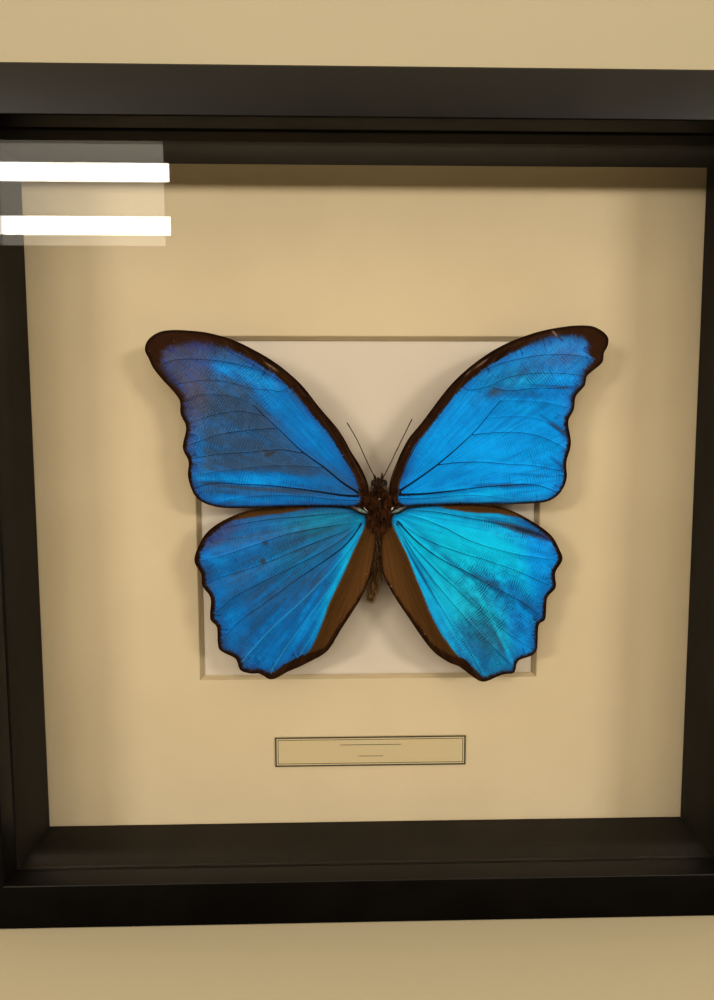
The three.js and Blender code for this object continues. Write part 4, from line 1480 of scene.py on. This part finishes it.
def makeThorax(s):
    hairy = [(*lumpy(s["centre"], s["size"]), bodyFinishes["chitin"])]
    parts = []
    for side in (-1, 1):  # shoulders, and the pale wing hinges
        (x, depth, z), size = s["shoulder"]
        hairy.append((*lumpy((side * x, depth, z), size, 18, 22), bodyFinishes["chitin"]))
        route = [(side * px, pd, pz) for px, pd, pz in s["podRoute"]]
        parts.append((*sweep(route, leafRadius(*s["podRadius"]), 14, 22), bodyFinishes["chitin"]))
        forward, upward = s["podRise"]
        route = [(px, pd - forward, pz + upward) for px, pd, pz in route]
        parts.append((*sweep(route, leafRadius(*s["podFill"]), 14, 22), bodyFinishes["hinge"]))
        route, radius = s["flecks"][side]
        parts.append((*sweep(route, leafRadius(s["fleckEnd"], radius), 8, 12), bodyFinishes["pale"]))
    centre, section = s["collar"]
    parts.append((*ring(centre, *section, 1.1), bodyFinishes["collar"]))
    piece = fromParts("thoraxHairy", hairy + parts)
    shell = fromParts("thoraxShell", hairy)
    hair = [grow(shell, fur, {**s[kind], "Finish": bodyFinishes["hair"]}) for kind in ("fur", "wisps")]
    bpy.data.objects.remove(shell)
    return joined(piece, hair)


def makeHead(s):
    skull = (*lumpy(s["centre"], s["size"], 18, 24), bodyFinishes["chitin"])
    parts, hairy = [skull], [skull]
    x, depth, z = s["centre"]
    for side in (-1, 1):
        eye = (x + side * s["eyeOut"], depth - s["eyeForward"], z + s["eyeRise"])
        parts.append((*lumpy(eye, s["eyeSize"], 16, 20, wobble=0), bodyFinishes["eye"]))
        rimCentre = (eye[0], eye[1] - s["rimForward"], eye[2])
        parts.append((*ring(rimCentre, *s["eyeRim"], 0.9), bodyFinishes["rim"]))
        palp = (*sweep(s["palps"][side], taper(*s["palpTaper"]), 10, 12), bodyFinishes["chitin"])
        parts.append(palp)
        hairy.append(palp)
    parts.append((*sweep(s["tongue"], taper(*s["tongueTaper"]), 10, 8), bodyFinishes["chitin"]))
    piece = fromParts("headHairy", parts)
    shell = fromParts("headShell", hairy)
    hair = grow(shell, fur, {**s["fur"], "Finish": bodyFinishes["hair"]})
    bpy.data.objects.remove(shell)
    return joined(piece, [hair])


def makeAbdomen(s):
    places, sizes = zip(*s["radii"])

    def radius(t):
        waist = 0.06 * abs(math.sin(math.pi * s["segments"] * t)) ** 0.5
        return float(np.interp(t, places, sizes)) * (0.95 + waist)

    tube = (*sweep(s["route"], radius, 20, 90), bodyFinishes["chitin"])
    piece = fromParts("abdomenHairy", [tube])
    hair = grow(piece, fur, {**s["fur"], "Finish": bodyFinishes["tailHair"]})
    return joined(piece, [hair])


def makeAntenna(side, s):
    def radius(t):
        club = (s["club"] - s["radius"]) * math.exp(-((t - 0.94) / 0.05) ** 2)
        ringed = 1 - 0.16 * abs(math.cos(math.pi * s["joints"] * t)) ** 3
        tip = math.sqrt(max(0.02, min(1, (1 - t) / 0.02)))
        return (s["radius"] + club) * ringed * tip

    rod = (*sweep(s[side], radius, s["sides"], s["rings"]), bodyFinishes["chitin"])
    return fromParts("antenna-" + side, [rod])


settle(makeThorax(thoraxSettings), "thorax")
settle(makeHead(headSettings), "head")
settle(makeAbdomen(abdomenSettings), "abdomen")
for side in ("left", "right"):
    settle(makeAntenna(side, antennaSettings), "antenna_" + side)
print("body made")


# floor, backdrop and soft lights

stageSettings = {"floor": 6.0, "wallBehind": 0.9, "wallHeight": 3.0}  # m


def stageFinish():
    f = Finish("paleStage")
    cloud = f.noise(f.place(), 0.004, 2.0)
    colour = f.blend(cloud, (0.4, 0.36, 0.275), (0.42, 0.38, 0.29))
    return f.surface(Base_Color=colour, Roughness=0.9, Specular_IOR_Level=0.2)


def makeStage(s):
    half, behind, height = s["floor"] / 2, s["wallBehind"], s["wallHeight"]
    stage = stageFinish()
    level = [(-half, -half, 0), (half, -half, 0), (half, behind, 0), (-half, behind, 0)]
    upright = [(-half, behind, 0), (half, behind, 0), (half, behind, height), (-half, behind, height)]
    floor = makeObject("floor", level, [(0, 1, 2, 3)], [stage])
    wall = makeObject("backdrop", upright, [(0, 1, 2, 3)], [stage])
    floor.visible_glossy = floor.visible_transmission = False  # kept out of the glass


makeStage(stageSettings)

warmWhite, stripWhite, warmest = (1, 0.95, 0.86), (1, 0.95, 0.84), (1, 0.93, 0.8)
lightSettings = {  # places and sizes in m, powers in W; a soft one doesn't show in the glass
    "frontBar": {"place": (0.0, -2.0, 0.63), "size": (1.7, 0.12), "power": 15, "soft": True},
    "leftBar": {"place": (-1.2, -1.5, 0.56), "size": (0.55, 0.14), "power": 13},
    "rightBar": {"place": (1.24, -1.5, 0.56), "size": (0.55, 0.14), "power": 15},
    "stripHigh": {"place": (-0.5, -1.2, 0.647), "size": (0.35, 0.034), "power": 0.4, "colour": stripWhite},
    "stripLow": {"place": (-0.5, -1.2, 0.551), "size": (0.35, 0.034), "power": 0.4, "colour": stripWhite},
    "backPanel": {"place": (0.0, 0.8, 1.3), "size": (1.4, 0.4), "power": 9, "soft": True, "lean": -58},
    "ceilingPanel": {"place": (-0.54, -1.22, 0.62), "size": (0.4, 0.2), "power": 0.4, "colour": warmest},
}


def softLight(name, s):
    data = bpy.data.lights.new(name, "AREA")
    data.shape = "RECTANGLE"
    data.size, data.size_y = s["size"]
    data.energy = s["power"]
    data.color = s.get("colour", warmWhite)
    lamp = bpy.data.objects.new(name, data)
    lamp.location = s["place"]
    lamp.rotation_euler = (math.radians(s.get("lean", 90)), 0, 0)
    lamp.visible_glossy = lamp.visible_transmission = not s.get("soft", False)
    bpy.context.scene.collection.objects.link(lamp)


for name, settings in lightSettings.items():
    softLight(name, settings)


def paleWorld():
    world = bpy.data.worlds.new("paleStudio")
    bpy.context.scene.world = world
    world.use_nodes = True
    g = Graph(world.node_tree)
    world.node_tree.nodes.clear()
    up = g.split(g.add("ShaderNodeTexCoord", out="Generated"))[2]
    colour = g.blend(up.step(0.28, 0.5), (0.035, 0.029, 0.02), (1.15, 0.98, 0.72))
    seen = g.add("ShaderNodeLightPath", out="Is Camera Ray")
    colour = g.blend(seen, colour, (0.42, 0.37, 0.28))
    back = g.add("ShaderNodeBackground", {}, {"Color": colour, "Strength": 1.0})
    g.add("ShaderNodeOutputWorld", {}, {"Surface": back})


paleWorld()
print("stage and lights made")
